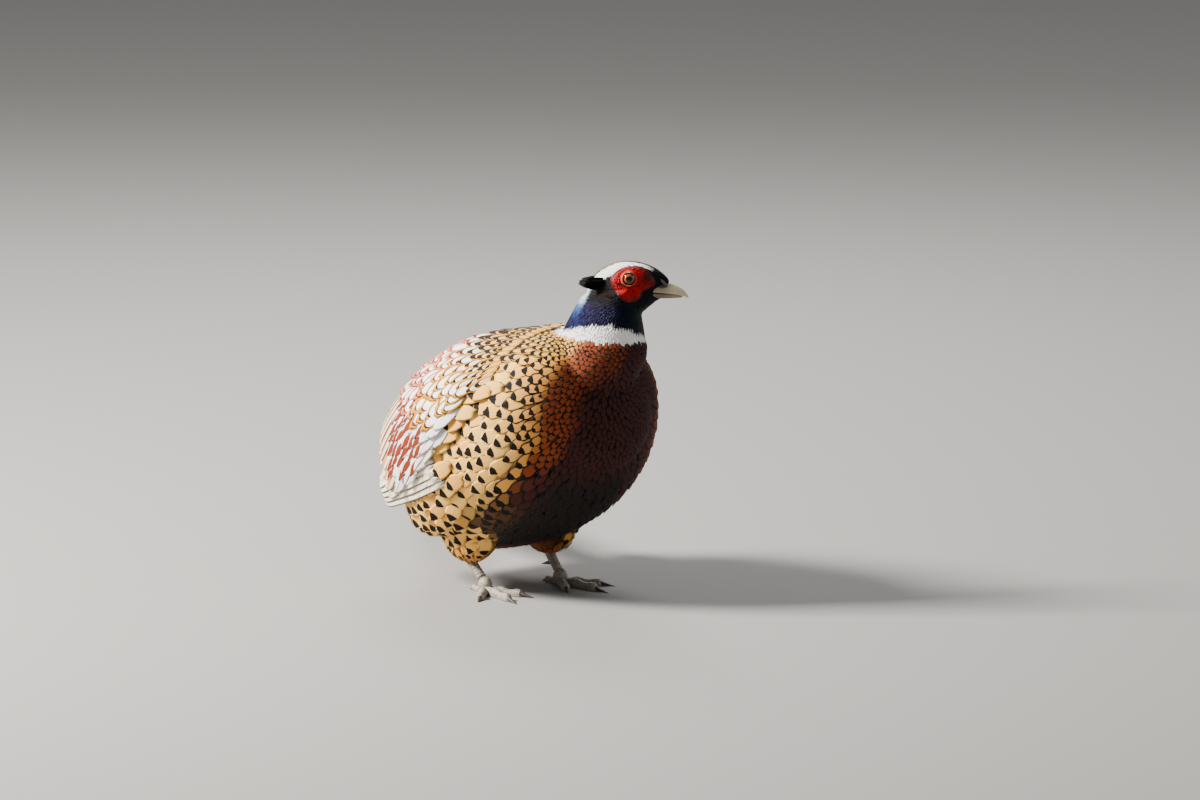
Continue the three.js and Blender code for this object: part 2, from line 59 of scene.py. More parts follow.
BODY = {
    "height": 122.0, "slope": 0.3, "front": 124.0, "rear": 124.0, "half": 98.0, "up": 90.0, "down": 91.0,
    "front_fullness": 2.3, "shoulder_fullness": 0.9, "rear_fullness": 1.9, "section": 2.15, "sway": 18.0,
}
WING_REAR = 182.0
COAT = {"body": 5.0, "neck": 2.6, "head": 1.2, "thigh": 4.0}
CROP = {"at": (93.0, 6.0, 154.0), "radii": (39.0, 57.0, 54.0)}
THIGH = {"at": (-16.0, 38.0, 54.0), "radii": (34.0, 24.0, 34.0)}
HEAD_TURN = math.radians(55)
HEAD_AT = np.array([114.0, 28.0, 268.0])
EYE = {"radius": 5.9, "side": 15.2, "hole": 5.0}
TAIL_SWING = math.radians(35)
TAIL = {"root": np.array([-112.0, 19.0, 98.0]), "length": 455.0, "outer": 150.0, "pairs": 9, "half": 14.0}
LEG = {"side": 37.0, "ankle_x": 4.0, "ankle_z": 9.0, "knee_x": -54.0, "knee_z": 58.0}

# x, top, bottom and half width of each row, in the head's frame
HEAD_ROWS = [
    (-34, -14, -20, 3), (-31, -5, -27, 10), (-23, 5.8, -34, 16), (-11, 11.7, -38, 18.2), (0, 13, -36, 18),
    (11, 11.3, -30, 15), (20, 8, -22.6, 10.6), (27, 3.4, -18.6, 6.2), (33, -2.2, -16.6, 2.8),
]
UPPER_BILL_ROWS = [
    (15, -5, -12.4, 10.4), (22, -4.6, -13.2, 9.2), (30, -5.4, -14.2, 6.8), (38, -7.8, -15.2, 4.6),
    (44, -11.6, -16.6, 2.7), (47.8, -16.4, -18, 0.7),
]
LOWER_BILL_ROWS = [
    (15, -12, -17.2, 10), (22, -12.7, -18, 8.7), (30, -13.6, -18.2, 6.2), (38, -14.6, -18, 3.9),
    (43, -15.8, -17.6, 1.6),
]
HEAD_SHAPE = (0.9, 0.5)  # how rounded the cross-section is, and how high its widest level
UPPER_BILL_SHAPE = (0.95, 0.14)
LOWER_BILL_SHAPE = (0.95, 0.8)
NECK_LINE = [(-24.0, -92.0), (-21.5, -38.0), (-14.0, -12.0)]  # x and z in the head's frame, from its base up
NECK_HALVES = [32.0, 41.0, 38.0, 31.6, 27.0]
NECK_FLATNESS = 0.92
NECK_AXIS = -22.0  # x of the neck's middle in the head's frame
FLAP = {"at": (26.4, 4.0, -3.9), "radii": (5.6, 1.8, 1.5), "slope": math.radians(-44), "turn": 0.12}
WING_ROUND = 92.0  # a mean radius of the folded wing, which turns ways round it into angles
CANDIDATES = 60000  # places from which the feathers' roots are chosen
SKIN_VOXEL = 1.7
METRE = 0.001  # one millimetre in the row frame's metres
BARB_DEPTH = 0.0004  # of the feathers' relief, in metres
THROAT = -22.0  # z in the head's frame where the face's feathers end
WATTLE_RADII = [  # every 15 degrees, from the front upwards
    20, 17, 14.4, 12.6, 11, 9.8, 9.2, 9.2, 9.5, 10.2, 11.4, 13,
    15, 15.4, 15.2, 15.5, 16.6, 18.3, 19.8, 19.8, 18.4, 15.8, 18.2, 22,
]


# Numbers

def smooth(value, low, high):
    t = np.clip((np.asarray(value, float) - low) / (high - low), 0, 1)
    return t * t * (3 - 2 * t)


def power(value, exponent):
    return np.sign(value) * np.abs(value) ** exponent


def unit(vectors):
    return vectors / np.maximum(np.linalg.norm(vectors, axis=-1, keepdims=True), 1e-9)


def dot(a, b):
    return (a * b).sum(-1, keepdims=True)


def spline(values, t):
    """A smooth line through evenly spaced values, t from 0 to 1."""
    values = np.asarray(values, float)
    place = np.clip(np.asarray(t, float), 0, 1) * (len(values) - 1)
    k = np.minimum(place.astype(int), len(values) - 2)
    f = (place - k)[..., None] if values.ndim > 1 else place - k
    last = len(values) - 1
    a, b, c, d = (values[np.clip(k + step, 0, last)] for step in (-1, 0, 1, 2))
    return b + 0.5 * f * (c - a + f * (2 * a - 5 * b + 4 * c - d + f * (3 * (b - c) + d - a)))


def turned(points, angle, at):
    """Points of a frame that is turned about Z and set at a place, in the bird's frame."""
    c, s = math.cos(angle), math.sin(angle)
    x, y, z = points[..., 0], points[..., 1], points[..., 2]
    return np.stack([c * x - s * y, s * x + c * y, z], -1) + at


def from_head(points):
    return turned(np.asarray(points, float), HEAD_TURN, HEAD_AT)


def head_way(x, y, z):
    """A direction of the head's frame, in the bird's frame."""
    return from_head(np.stack([x, y, z], -1)) - HEAD_AT


def to_head(points):
    return turned(np.asarray(points, float) - HEAD_AT, -HEAD_TURN, 0)


def from_tail(points):
    return turned(np.asarray(points, float), math.pi - TAIL_SWING, TAIL["root"])


def tint(red, green, blue):
    """A colour as a screen shows it, 0 to 255, in the linear values that shaders use."""
    c = np.array([red, green, blue], float) / 255
    return np.where(c <= 0.04045, c / 12.92, ((c + 0.055) / 1.055) ** 2.4)


# Where the bird's frame is in the row frame, from the right eye's node
low_corner, high_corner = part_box("eye_right")
EYE_RIGHT = from_head([0, RIGHT * EYE["side"], 0])
SHIFT = np.array((low_corner + high_corner) / 2) / METRE - EYE_RIGHT


# Surfaces of the body

def egg(x, angle, rear=BODY["rear"], grow=0.0):
    """The trunk's surface, x along its axis and angle from the back's ridge towards the left."""
    station = np.where(x > 0, x / (BODY["front"] + grow), x / (rear + grow))
    station = np.clip(station, -1, 1)
    top = ((1 + np.cos(angle)) / 2) ** 2
    front = BODY["front_fullness"] + BODY["shoulder_fullness"] * top
    fullness = np.where(station > 0, front, BODY["rear_fullness"])
    ring = np.maximum(0, 1 - np.abs(station) ** fullness) ** (1 / fullness)
    upward = power(np.cos(angle), 2 / BODY["section"])
    sideways = power(np.sin(angle), 2 / BODY["section"])
    back = np.minimum(station, 0) * (rear / BODY["rear"])
    half = np.where(upward > 0, BODY["up"], BODY["down"]) + grow
    y = BODY["sway"] * back * back + sideways * ring * (BODY["half"] + grow)
    z = BODY["height"] + BODY["slope"] * x + upward * ring * half
    return np.stack([x + 0 * y, y, z], -1)


def head_sizes(rows, t):
    """x, top, bottom and half width of a form, t from its first row to its last."""
    return np.moveaxis(spline(rows, t), -1, 0)


def station_form(rows, shape, grow=0.0):
    """A form through its rows, for round_form."""
    roundness, widest = shape

    def place(station, angle):
        x, top, bottom, side = head_sizes(rows, (station + 1) / 2)
        level = bottom + widest * (top - bottom)
        upward = power(np.cos(angle), roundness)
        half = np.where(upward > 0, top - level, level - bottom) + grow
        open_ = np.sqrt(np.maximum(0, 1 - np.maximum(0, (np.abs(station) - 0.93) / 0.07) ** 2))
        y = power(np.sin(angle), roundness) * (side + grow) * open_
        return from_head(np.stack([x + grow * station * (1 - open_), y, level + upward * half * open_], -1))

    return place


def neck_form(station, angle):
    t = (station + 1) / 2
    (x0, z0), (x1, z1), (x2, z2) = NECK_LINE
    middle = math.hypot(x1 - x0, z1 - z0)
    middle /= middle + math.hypot(x2 - x1, z2 - z1)
    a = (t - middle) * (t - 1) / middle
    b = t * (t - 1) / (middle * (middle - 1))
    c = t * (t - middle) / (1 - middle)
    half = (spline(NECK_HALVES, t) - COAT["neck"]) * np.where(np.abs(station) > 0.9999, 0, 1)
    x = a * x0 + b * x1 + c * x2 + half * np.cos(angle)
    y = half * NECK_FLATNESS * np.sin(angle)
    z = a * z0 + b * z1 + c * z2 + 0.2 * half * np.cos(angle)
    return from_head(np.stack([x, y, z], -1))


def trunk_form(station, angle):
    x = station * (np.where(station > 0, BODY["front"], BODY["rear"]) - COAT["body"])
    return egg(x, angle, grow=-COAT["body"])


def ball_form(at, radii, shrink):
    def place(station, angle):
        ring = np.sqrt(np.maximum(0, 1 - station**2))
        a, b, c = (r - shrink for r in radii)
        spot = [at[0] + a * ring * np.cos(angle), at[1] + b * ring * np.sin(angle), at[2] + c * station]
        return np.stack(spot, -1)

    return place


# Meshes

def new_object(name, data):
    piece = bpy.data.objects.new(name, data)
    bpy.context.scene.collection.objects.link(piece)
    return piece


def coordinates(mesh):
    flat = np.zeros(len(mesh.vertices) * 3)
    mesh.vertices.foreach_get("co", flat)
    return flat.reshape(-1, 3)


def move_to(mesh, points):
    mesh.vertices.foreach_set("co", np.asarray(points, float).ravel())
    mesh.update()


def finished_mesh(build, name):
    """The mesh of a bmesh that is done with."""
    mesh = bpy.data.meshes.new(name)
    build.to_mesh(mesh)
    build.free()
    return mesh


def round_form(name, place, around=64, along=40):
    """A closed round body from a sphere: place(station, angle) gives its surface."""
    build = bmesh.new()
    bmesh.ops.create_uvsphere(build, u_segments=around, v_segments=along, radius=1)
    mesh = finished_mesh(build, name)
    ball = coordinates(mesh)
    move_to(mesh, place(np.clip(ball[:, 2], -1, 1), np.arctan2(ball[:, 1], ball[:, 0])))
    build = bmesh.new()
    build.from_mesh(mesh)
    bmesh.ops.recalc_face_normals(build, faces=build.faces)
    build.to_mesh(mesh)
    build.free()
    return new_object(name, mesh)


def joined(pieces, name):
    build = bmesh.new()
    for piece in pieces:
        build.from_mesh(piece.data)
        bpy.data.objects.remove(piece)
    return new_object(name, finished_mesh(build, name))


def applied(piece):
    """The piece with its modifiers made part of its mesh."""
    graph = bpy.context.evaluated_depsgraph_get()
    mesh = bpy.data.meshes.new_from_object(piece.evaluated_get(graph))
    piece.modifiers.clear()
    piece.data = mesh
    return piece


def settle(piece, material, slot, *nodes):
    """Moves a finished piece into the row frame, gives it its material, and hides the model's parts that it
    takes the place of.
    """
    piece.data.transform(Matrix.Scale(METRE, 4) @ Matrix.Translation(Vector(SHIFT)))
    piece.data.update()
    piece.data.materials.clear()
    piece.data.materials.append(material)
    piece.data.shade_smooth()
    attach(piece, "root")
    if nodes:
        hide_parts(*nodes)


def painted(piece, colour):
    """Gives a piece its colour, one for the whole or one for each point."""
    point_values(piece.data, "ground", np.broadcast_to(colour, (len(piece.data.vertices), 3)))


# Shader nodes

class Value:
    """What a shader socket puts out; arithmetic with it makes Math nodes."""

    def __init__(self, nodes, socket):
        self.nodes = nodes
        self.socket = socket

    def __add__(self, other):
        return self.nodes.math("ADD", self, other)

    def __sub__(self, other):
        return self.nodes.math("SUBTRACT", self, other)

    def __rsub__(self, other):
        return self.nodes.math("SUBTRACT", other, self)

    def __mul__(self, other):
        return self.nodes.math("MULTIPLY", self, other)

    def __truediv__(self, other):
        return self.nodes.math("DIVIDE", self, other)

    def __pow__(self, other):
        return self.nodes.math("POWER", self, other)

    def __abs__(self):
        return self.nodes.math("ABSOLUTE", self)


class Nodes:
    """Short words for making the nodes of a material or a group."""

    def __init__(self, tree):
        self.tree = tree

    def put(self, socket, value):
        if isinstance(value, Value):
            self.tree.links.new(value.socket, socket)
        elif socket.type == "RGBA":
            socket.default_value = (*value, 1.0)
        else:
            socket.default_value = value

    def make(self, kind, **settings):
        node = self.tree.nodes.new(kind)
        for key, value in settings.items():
            setattr(node, key, value)
        return node

    def out(self, node, given=(), output=0):
        """What a node puts out, once its inputs are given as pairs of a name or number and a value."""
        for key, value in given:
            self.put(node.inputs[key], value)
        return Value(self, node.outputs[output])

    def math(self, operation, *values):
        return self.out(self.make("ShaderNodeMath", operation=operation), enumerate(values))

    def step(self, value, low, high):
        node = self.make("ShaderNodeMapRange", interpolation_type="SMOOTHSTEP")
        return self.out(node, [("Value", value), ("From Min", low), ("From Max", high)], "Result")

    def mix(self, share, a, b, kind="MIX"):
        node = self.make("ShaderNodeMix", data_type="RGBA", blend_type=kind)
        self.put(node.inputs["Factor"], share)
        for socket, colour in zip([socket for socket in node.inputs if socket.type == "RGBA"], (a, b)):
            self.put(socket, colour)
        return Value(self, next(socket for socket in node.outputs if socket.type == "RGBA"))

    def shaded(self, colour, light):
        return self.mix(1.0, colour, self.combine(light, light, light), "MULTIPLY")

    def noise(self, vector, scale, detail=3.0, roughness=0.5):
        given = [("Vector", vector), ("Scale", scale), ("Detail", detail), ("Roughness", roughness)]
        return self.out(self.make("ShaderNodeTexNoise"), given, "Fac")

    def cells(self, vector, scale):
        return self.out(self.make("ShaderNodeTexVoronoi"), [("Vector", vector), ("Scale", scale)], "Distance")

    def attribute(self, name, output="Fac"):
        return self.out(self.make("ShaderNodeAttribute", attribute_name=name), output=output)

    def colours(self, *names):
        return [self.attribute(name, "Color") for name in names]

    def place(self):
        return self.out(self.make("ShaderNodeTexCoord"), output="Object")

    def combine(self, x, y, z):
        return self.out(self.make("ShaderNodeCombineXYZ"), enumerate((x, y, z)))

    def parts(self, vector):
        node = self.make("ShaderNodeSeparateXYZ")
        self.put(node.inputs[0], vector)
        return [Value(self, socket) for socket in node.outputs]

    def bump(self, height, strength, distance):
        given = [("Height", height), ("Strength", strength), ("Distance", distance)]
        return self.out(self.make("ShaderNodeBump"), given)

    def vane(self, barbs):
        node = self.make("ShaderNodeGroup", node_tree=VANE)
        self.put(node.inputs["Barbs"], barbs)
        return [Value(self, socket) for socket in node.outputs]


def new_finish(name, build, **fixed):
    """A material round one Principled shader; build(n) gives its colour, roughness and normal."""
    material = bpy.data.materials.new(name)
    material.use_nodes = True
    n = Nodes(material.node_tree)
    n.tree.nodes.clear()
    shader = n.make("ShaderNodeBsdfPrincipled")
    surface = n.make("ShaderNodeOutputMaterial").inputs["Surface"]
    n.tree.links.new(shader.outputs[0], surface)
    for key, value in zip(("Base Color", "Roughness", "Normal"), build(n)):
        if value is not None:
            n.put(shader.inputs[key], value)
    for key, value in fixed.items():
        shader.inputs[key.replace("_", " ").title().replace("Ior", "IOR")].default_value = value
    return material


def vane_group():
    """What every feather shares: its coordinates, its outline's contours, and its barbs."""
    tree = bpy.data.node_groups.new("vane", "ShaderNodeTree")
    tree.interface.new_socket("Barbs", in_out="INPUT", socket_type="NodeSocketFloat")
    for key in ("Across", "Along", "Contour", "Streak", "Shaft", "Relief"):
        tree.interface.new_socket(key, in_out="OUTPUT", socket_type="NodeSocketFloat")
    n = Nodes(tree)
    barbs = n.out(n.make("NodeGroupInput"), output="Barbs")
    x, along, _ = n.parts(n.out(n.make("ShaderNodeUVMap", uv_map="Vane")))
    across = x * 2.0 - 1.0
    wide = abs(across)
    late = n.math("MAXIMUM", along * 2.2 - 1.2, 0.0)
    contour = (wide**3.0 + late**3.0) ** (1 / 3)
    lines = n.combine((along - wide * 0.5) * barbs, across * 2.5, n.attribute("shade"))
    streak = n.noise(lines, 1.0, 2.0, 0.6)
    shaft = 1.0 - n.step(wide, 0.02, 0.07)
    result = n.make("NodeGroupOutput").inputs
    for socket, value in zip(result, (across, along, contour, streak, shaft, streak + shaft * 0.6)):
        n.put(socket, value)
    return tree


VANE = vane_group()


def plumage_build(roughness, soft=0.3, root=0.86, varied=0.1):
    """Body feathers: their colours and the share of each mark come from attributes; each feather is darker
    towards its root, partly painted shade from the feather above and partly its greyer base.
    """

    def build(n):
        across, along, contour, streak, _, relief = n.vane(70.0)
        ground, centre, edge, ink = n.colours("ground", "centre", "edge", "ink")
        rim, spot, line = n.parts(n.attribute("marks", "Vector"))
        band, spot_at, spot_long = n.parts(n.attribute("form", "Vector"))
        wobble = streak * 0.16 - 0.08
        contour = contour + wobble
        brim = 1.0 - rim
        inside = brim - band
        colour = n.mix(n.step(contour, inside + 0.03, inside - 0.03), ground, centre)
        rimmed = n.step(contour, brim - 0.05, brim + 0.05) * n.step(rim, 0.0, 0.08)
        colour = n.mix(rimmed, colour, edge)
        line = line * (n.step(along, 0.5, 0.9) * 0.8 + 0.45)
        off_line = abs(contour - inside) + 0.02
        colour = n.mix(n.step(off_line, line + 0.025, line - 0.015), colour, ink)
        spot_away = (abs(across) / spot) ** 1.7 + (abs(along - spot_at) / spot_long) ** 1.7
        colour = n.mix(n.step(spot_away + wobble * 3.0, 1.15, 0.8), colour, ink)
        light = streak * soft + (1 - soft / 2) + (n.attribute("shade") * varied - varied / 2)
        # Each feather is darker towards its root: painted shade where the feather above lies on it, and
        # partly the greyer down of a real feather's base.
        under = n.step(along, 0.1, 0.55) * (1 - root) + root
        return n.shaded(colour, light * under), roughness, n.bump(relief, 0.5, BARB_DEPTH)

    return build


# Feathers

def uv_layer(mesh, name, corner, per_vertex):
    layer = mesh.uv_layers.new(name=name)
    layer.data.foreach_set("uv", per_vertex[corner].astype(np.float32).ravel())


def point_values(mesh, name, values):
    values = np.asarray(values, np.float32)
    if values.ndim == 1:
        mesh.attributes.new(name, "FLOAT", "POINT").data.foreach_set("value", values)
        return
    if name in ("marks", "form"):
        mesh.attributes.new(name, "FLOAT_VECTOR", "POINT").data.foreach_set("vector", values.ravel())
        return
    colours = np.concatenate([values, np.ones((len(values), 1), np.float32)], 1)
    mesh.attributes.new(name, "FLOAT_COLOR", "POINT").data.foreach_set("color", colours.ravel())


def vane_faces(rows, columns):
    """One feather's quads: a top face, and an underside that shares its rim."""
    inner = rows * columns

    def top(i, j):
        return i * columns + j

    def below(i, j):
        if i in (0, rows - 1) or j in (0, columns - 1):
            return top(i, j)
        return inner + (i - 1) * (columns - 2) + (j - 1)

    faces = []
    for i in range(rows - 1):
        for j in range(columns - 1):
            faces.append([top(i, j), top(i, j + 1), top(i + 1, j + 1), top(i + 1, j)])
            faces.append([below(i, j), below(i + 1, j), below(i + 1, j + 1), below(i, j + 1)])
    return np.array(faces)


def vanes(name, lines, halves, profile, columns, values, bake, seed, round_tip=0.4, cup=0.06, thick=0.25,
          fray=0.05, bow=90.0, patch=None):
    """Many feathers as one mesh. lines holds each one's middle points, ways across and ways out."""
    middle, across, out = lines
    count, rows, _ = middle.shape
    random = np.random.default_rng(seed)
    along = unit(np.gradient(middle, axis=1))
    s, widths = np.array(profile, float).T
    t = np.linspace(-1, 1, columns)
    length = np.linalg.norm(np.diff(middle, axis=1), axis=2).sum(1)[:, None, None]
    side = t * (halves[:, None, None] * widths[:, None])
    rough = random.uniform(-1, 1, (count, rows, columns)) * fray * s[:, None] ** 4
    pull = round_tip * t**2 * s[:, None] ** 3 * length - rough * length
    rise = cup * halves[:, None, None] * (1 - t**2) - side**2 / (2 * bow)
    points = (
        middle[:, :, None, :]
        + across[:, :, None, :] * side[..., None]
        - along[:, :, None, :] * pull[..., None]
        + out[:, :, None, :] * rise[..., None]
    )
    body = thick * (1 - t**2) * (1 - 0.5 * s[:, None])
    lower = (points - out[:, :, None, :] * body[..., None])[:, 1:-1, 1:-1]
    whole = np.concatenate([points.reshape(count, -1, 3), lower.reshape(count, -1, 3)], 1)
    each = whole.shape[1]
    index = (np.arange(count)[:, None, None] * each + vane_faces(rows, columns)).reshape(-1, 4)
    mesh = bpy.data.meshes.new(name)
    mesh.vertices.add(count * each)
    mesh.vertices.foreach_set("co", whole.ravel())
    mesh.loops.add(index.size)
    mesh.loops.foreach_set("vertex_index", index.ravel())
    mesh.polygons.add(len(index))
    mesh.polygons.foreach_set("loop_start", np.arange(0, index.size, 4))
    grid = np.stack(np.meshgrid((t + 1) / 2, s), -1)
    vane_uv = np.concatenate([grid.reshape(-1, 2), grid[1:-1, 1:-1].reshape(-1, 2)])
    size = np.array(patch or [max(0.003, min(0.012, 0.3 / math.sqrt(count)))] * 2)
    bake_uv = np.clip(bake, size, 1 - size)[:, None, :] + (vane_uv - 0.5) * size
    uv_layer(mesh, "Vane", index.ravel(), np.tile(vane_uv, (count, 1)))
    uv_layer(mesh, "OFBake", index.ravel(), bake_uv.reshape(-1, 2))
    for key, value in values.items():
        point_values(mesh, key, np.repeat(np.asarray(value, float), each, axis=0))
    mesh.update(calc_edges=True)
    mesh.validate()
    return new_object(name, mesh)


BODY_PROFILE = [(0, 0.35), (0.3, 0.8), (0.55, 1.0), (0.75, 1.0), (0.9, 0.92), (1.0, 0.78)]
BROAD_PROFILE = [
    (0, 0.35), (0.25, 0.76), (0.45, 0.96), (0.65, 1.0), (0.8, 1.0), (0.9, 0.95), (0.97, 0.84), (1.0, 0.74),
]
SMALL_PROFILE = [(0, 0.45), (0.45, 1.0), (0.8, 0.85), (1.0, 0.4)]


def traced(skin, points, normals, ways, length, lift, profile):
    """Feathers laid along the skin: the middle line, the way across and the way out of each."""
    places = [p[0] for p in profile]
    count = len(points)
    middle = np.zeros((count, len(places), 3))
    out = np.zeros_like(middle)
    for i in range(count):
        spot = Vector(points[i])
        way = Vector(ways[i])
        facing = Vector(normals[i])
        before = 0.0
        for k, place in enumerate(places):
            step = (place - before) * length[i]
            before = place
            if step > 0:
                found, normal, _, _ = skin.find_nearest(spot + way * step)
                way = (found - spot) if (found - spot).length > 1e-6 else way
                facing = (facing * 0.5 + normal * 0.5).normalized()
                way = (way - facing * way.dot(facing)).normalized()
                spot = found
            middle[i, k] = spot + facing * (lift[i, 0] + (lift[i, 1] - lift[i, 0]) * place)
            out[i, k] = facing
    along = unit(np.gradient(middle, axis=1))
    across = unit(np.cross(along, out))
    return middle, across, unit(np.cross(across, along))


def surface_of(mesh):
    """A skin's triangles as corner arrays and as a tree for the nearest point."""
    mesh.calc_loop_triangles()
    flat = np.zeros(len(mesh.loop_triangles) * 3, int)
    mesh.loop_triangles.foreach_get("vertices", flat)
    points = coordinates(mesh)
    corners = points[flat.reshape(-1, 3)]
    tree = BVHTree.FromPolygons([Vector(p) for p in points], flat.reshape(-1, 3).tolist())
    return corners, tree


def finder_of(points):
    finder = KDTree(len(points))
    for i, point in enumerate(points):
        finder.insert(point, i)
    finder.balance()
    return finder


def scatter(corners, tree, seed, keep, spacing, rounds=4):
    """Roots spread evenly over the skin, about spacing(points) apart."""
    random = np.random.default_rng(seed)
    corners = corners[keep(corners.mean(1))]
    a, b, c = corners.transpose(1, 0, 2)
    area = np.linalg.norm(np.cross(b - a, c - a), axis=1)
    share = area / np.maximum(spacing(corners.mean(1)), 0.5) ** 2
    picked = random.choice(len(corners), CANDIDATES, p=share / share.sum())
    u, v = random.random((2, CANDIDATES))
    flip = u + v > 1
    u[flip], v[flip] = 1 - u[flip], 1 - v[flip]
    points = a[picked] + u[:, None] * (b - a)[picked]
    points += v[:, None] * (c - a)[picked]
    gap = spacing(points)
    finder = finder_of(points)
    free = np.ones(CANDIDATES, bool)
    chosen = []
    for i in range(CANDIDATES):
        if free[i]:
            chosen.append(i)
            for _, k, _ in finder.find_range(points[i], gap[i] * 0.86):
                free[k] = False
    points = points[chosen]
    for _ in range(rounds):
        reach = 1.1 * spacing(points)
        finder = finder_of(points)
        moved = points.copy()
        for i, point in enumerate(points):
            for near, k, distance in finder.find_n(point, 7):
                if 0 < distance < reach[i]:
                    moved[i] += (point - np.array(near)) * ((reach[i] - distance) * 0.16 / distance)
        points = np.array([tree.find_nearest(p)[0] for p in moved])
    normals = np.array([tree.find_nearest(p)[1] for p in points])
    return points, unit(normals)


NECK_FOOT = from_head([NECK_AXIS, 0, -70])


def flow(points, normals):
    """The lie of the coat: back from the bill, down the neck, then back along the body."""
    h = to_head(points)
    away = points - NECK_FOOT
    distance = np.linalg.norm(away, axis=1, keepdims=True)
    hang = smooth(116 - points[:, 2:3], 0, 50) * (1 - smooth(points[:, :1], 30, 90))
    body = np.array([-1, 0, -0.2]) + hang * np.array([0.1, 0, -0.8])
    body = body + 1.3 * np.exp(-distance / 70) * away / distance
    low = smooth(50 - points[:, 2:3], 0, 18)
    body = body * (1 - low) + low * np.array([0.1, 0, -1])
    down = turned(np.array([-0.25, 0, -1.0]), HEAD_TURN, 0)
    back = turned(unit(h - np.array([38, 0, -7.0])), HEAD_TURN, 0)
    radius = np.hypot(h[:, 0] - NECK_AXIS, h[:, 1])[:, None]
    on_neck = smooth(h[:, 2:3], -62, -48) * (1 - smooth(radius, 36, 46))
    on_head = smooth(h[:, 2:3], -36, -20)
    way = body * (1 - on_neck) + on_neck * (down * (1 - on_head) + back * on_head)
    way = way - dot(way, normals) * normals
    return unit(way)


def turn_ways(ways, normals, angle):
    side = np.cross(normals, ways)
    return ways * np.cos(angle)[:, None] + side * np.sin(angle)[:, None]


# Markings, as functions of place, for skin and feathers alike

PAINT = {
    "black": tint(12, 12, 16), "green": tint(10, 26, 26), "blue": tint(7, 9, 34), "violet": tint(32, 20, 58),
    "painted_sheen": tint(24, 40, 88), "glint_white": tint(214, 234, 240), "cyan": tint(62, 92, 140),
    "white": tint(250, 249, 246), "brow": tint(246, 243, 234), "crown": tint(128, 108, 74),
    "ear": tint(29, 22, 18), "gold": tint(236, 158, 66), "buff": tint(252, 203, 106),
    "copper": tint(124, 50, 18), "maroon": tint(44, 16, 17), "belly": tint(24, 16, 14),
    "vent": tint(176, 98, 46), "ink": tint(9, 5, 5), "cream": tint(252, 247, 238), "pink": tint(186, 84, 74),
    "rump": tint(150, 150, 128), "lavender": tint(240, 232, 234), "brick": tint(124, 44, 13),
    "orange": tint(214, 108, 36), "amber": tint(210, 150, 6),
}
FORM = np.array([0.07, 0.85, 0.13])  # the band inside the rim, and a tip spot's place and length


def blend(a, b, share):
    """Two colours, each one's values or the name of its paint, mixed by the share of the second."""
    a, b = (PAINT[tone] if isinstance(tone, str) else tone for tone in (a, b))
    share = np.asarray(share, float)[..., None]
    return a * (1 - share) + b * share


def layered(colour, *coats):
    """A colour under coats of paint, each a colour and its share."""
    for tone, share in coats:
        colour = blend(colour, tone, share)
    return colour


# The middle of the white brow over the eye, and its half width, at x in the head's frame
BROW_HEIGHTS = [
    (-30, -2), (-24, 0.8), (-18, 3.3), (-14, 5.3), (-7, 8.6), (1, 10.8), (8.4, 10.3), (13.6, 8.2), (19, 5.2),
]
BROW_WIDTHS = [(-30, 2.0), (-24, 2.9), (-18, 3.6), (-14, 3.4), (-7, 2.6), (1, 1.8), (13.6, 1.7), (19, 1.0)]


def along_points(x, points):
    """The height at x of a line through points, each an x and a height."""
    places, heights = zip(*points)
    return np.interp(x, places, heights)


def head_paint(points):
    """Colours of the head and neck, without the ring's white, with a painted sheen low on the back of the
    neck and a painted glint along the nape.
    """
    x, y, z = to_head(points).T
    side = np.abs(y)
    back = smooth(-x, 12, 34) * smooth(-z, 13, 22)
    patches = 0.5 + 0.5 * np.sin(x * 0.5 + 0.6 * z + 1.2) * np.sin(z * 0.42 - 0.2 * x)
    # Painted sheen: blue highlights low on the back of the neck, where its gloss catches the light.
    sheen_share = smooth(-x, 30, 42) * smooth(-z, 15, 24)
    # Painted highlight: a pale cyan-white glint along the nape's edge, whitest at its top.
    inward = x + 34 + 0.5 * np.maximum(-z - 8, 0)
    nape_glint = (1 - smooth(inward, 2.5, 6.5)) * smooth(-z, 7, 10) * (1 - smooth(-z, 24, 32))
    ear = 1 - smooth(np.hypot((x + 19) / 10.5, (z + 11) / 7.5), 0.72, 1.1)
    over_brow = z - along_points(x, BROW_HEIGHTS)
    crown = smooth(over_brow, 1.0, 2.6) * (1 - smooth(x, 12, 18)) * smooth(z, 2, 8)
    wander = 0.8 * np.sin(x * 0.9 + z * 0.7) + 0.5 * np.sin(x * 0.37 - side * 0.8)
    width = along_points(x, BROW_WIDTHS)
    brow = 1 - smooth(np.abs(over_brow + 0.2 * wander), width * 0.85, width * 1.1)
    brow = brow * smooth(x, -29, -26) * (1 - smooth(x, 18, 21)) * smooth(side, 2.5, 4.5)
    return layered(
        "black",
        ("blue", smooth(-z, 14, 26)),
        ("green", smooth(-z, 14, 26) * smooth(x, -8, 8) * 0.8),
        ("violet", back * smooth(patches, 0.25, 0.75) * 0.9),
        ("painted_sheen", sheen_share * smooth(1 - patches, 0.3, 0.75) * 0.7),
        (blend("glint_white", "cyan", smooth(-z, 15, 24)), 0.85 * nape_glint),
        ("ear", ear * smooth(side, 8, 13) * 0.9),
        ("crown", crown * 0.85),
        (blend("brow", "crown", smooth(x, 8, 17) * 0.6), brow),
    )


def neck_turn(h):
    """The way round the neck of a place in the head's frame."""
    return np.arctan2(h[:, 1], h[:, 0] - NECK_AXIS)


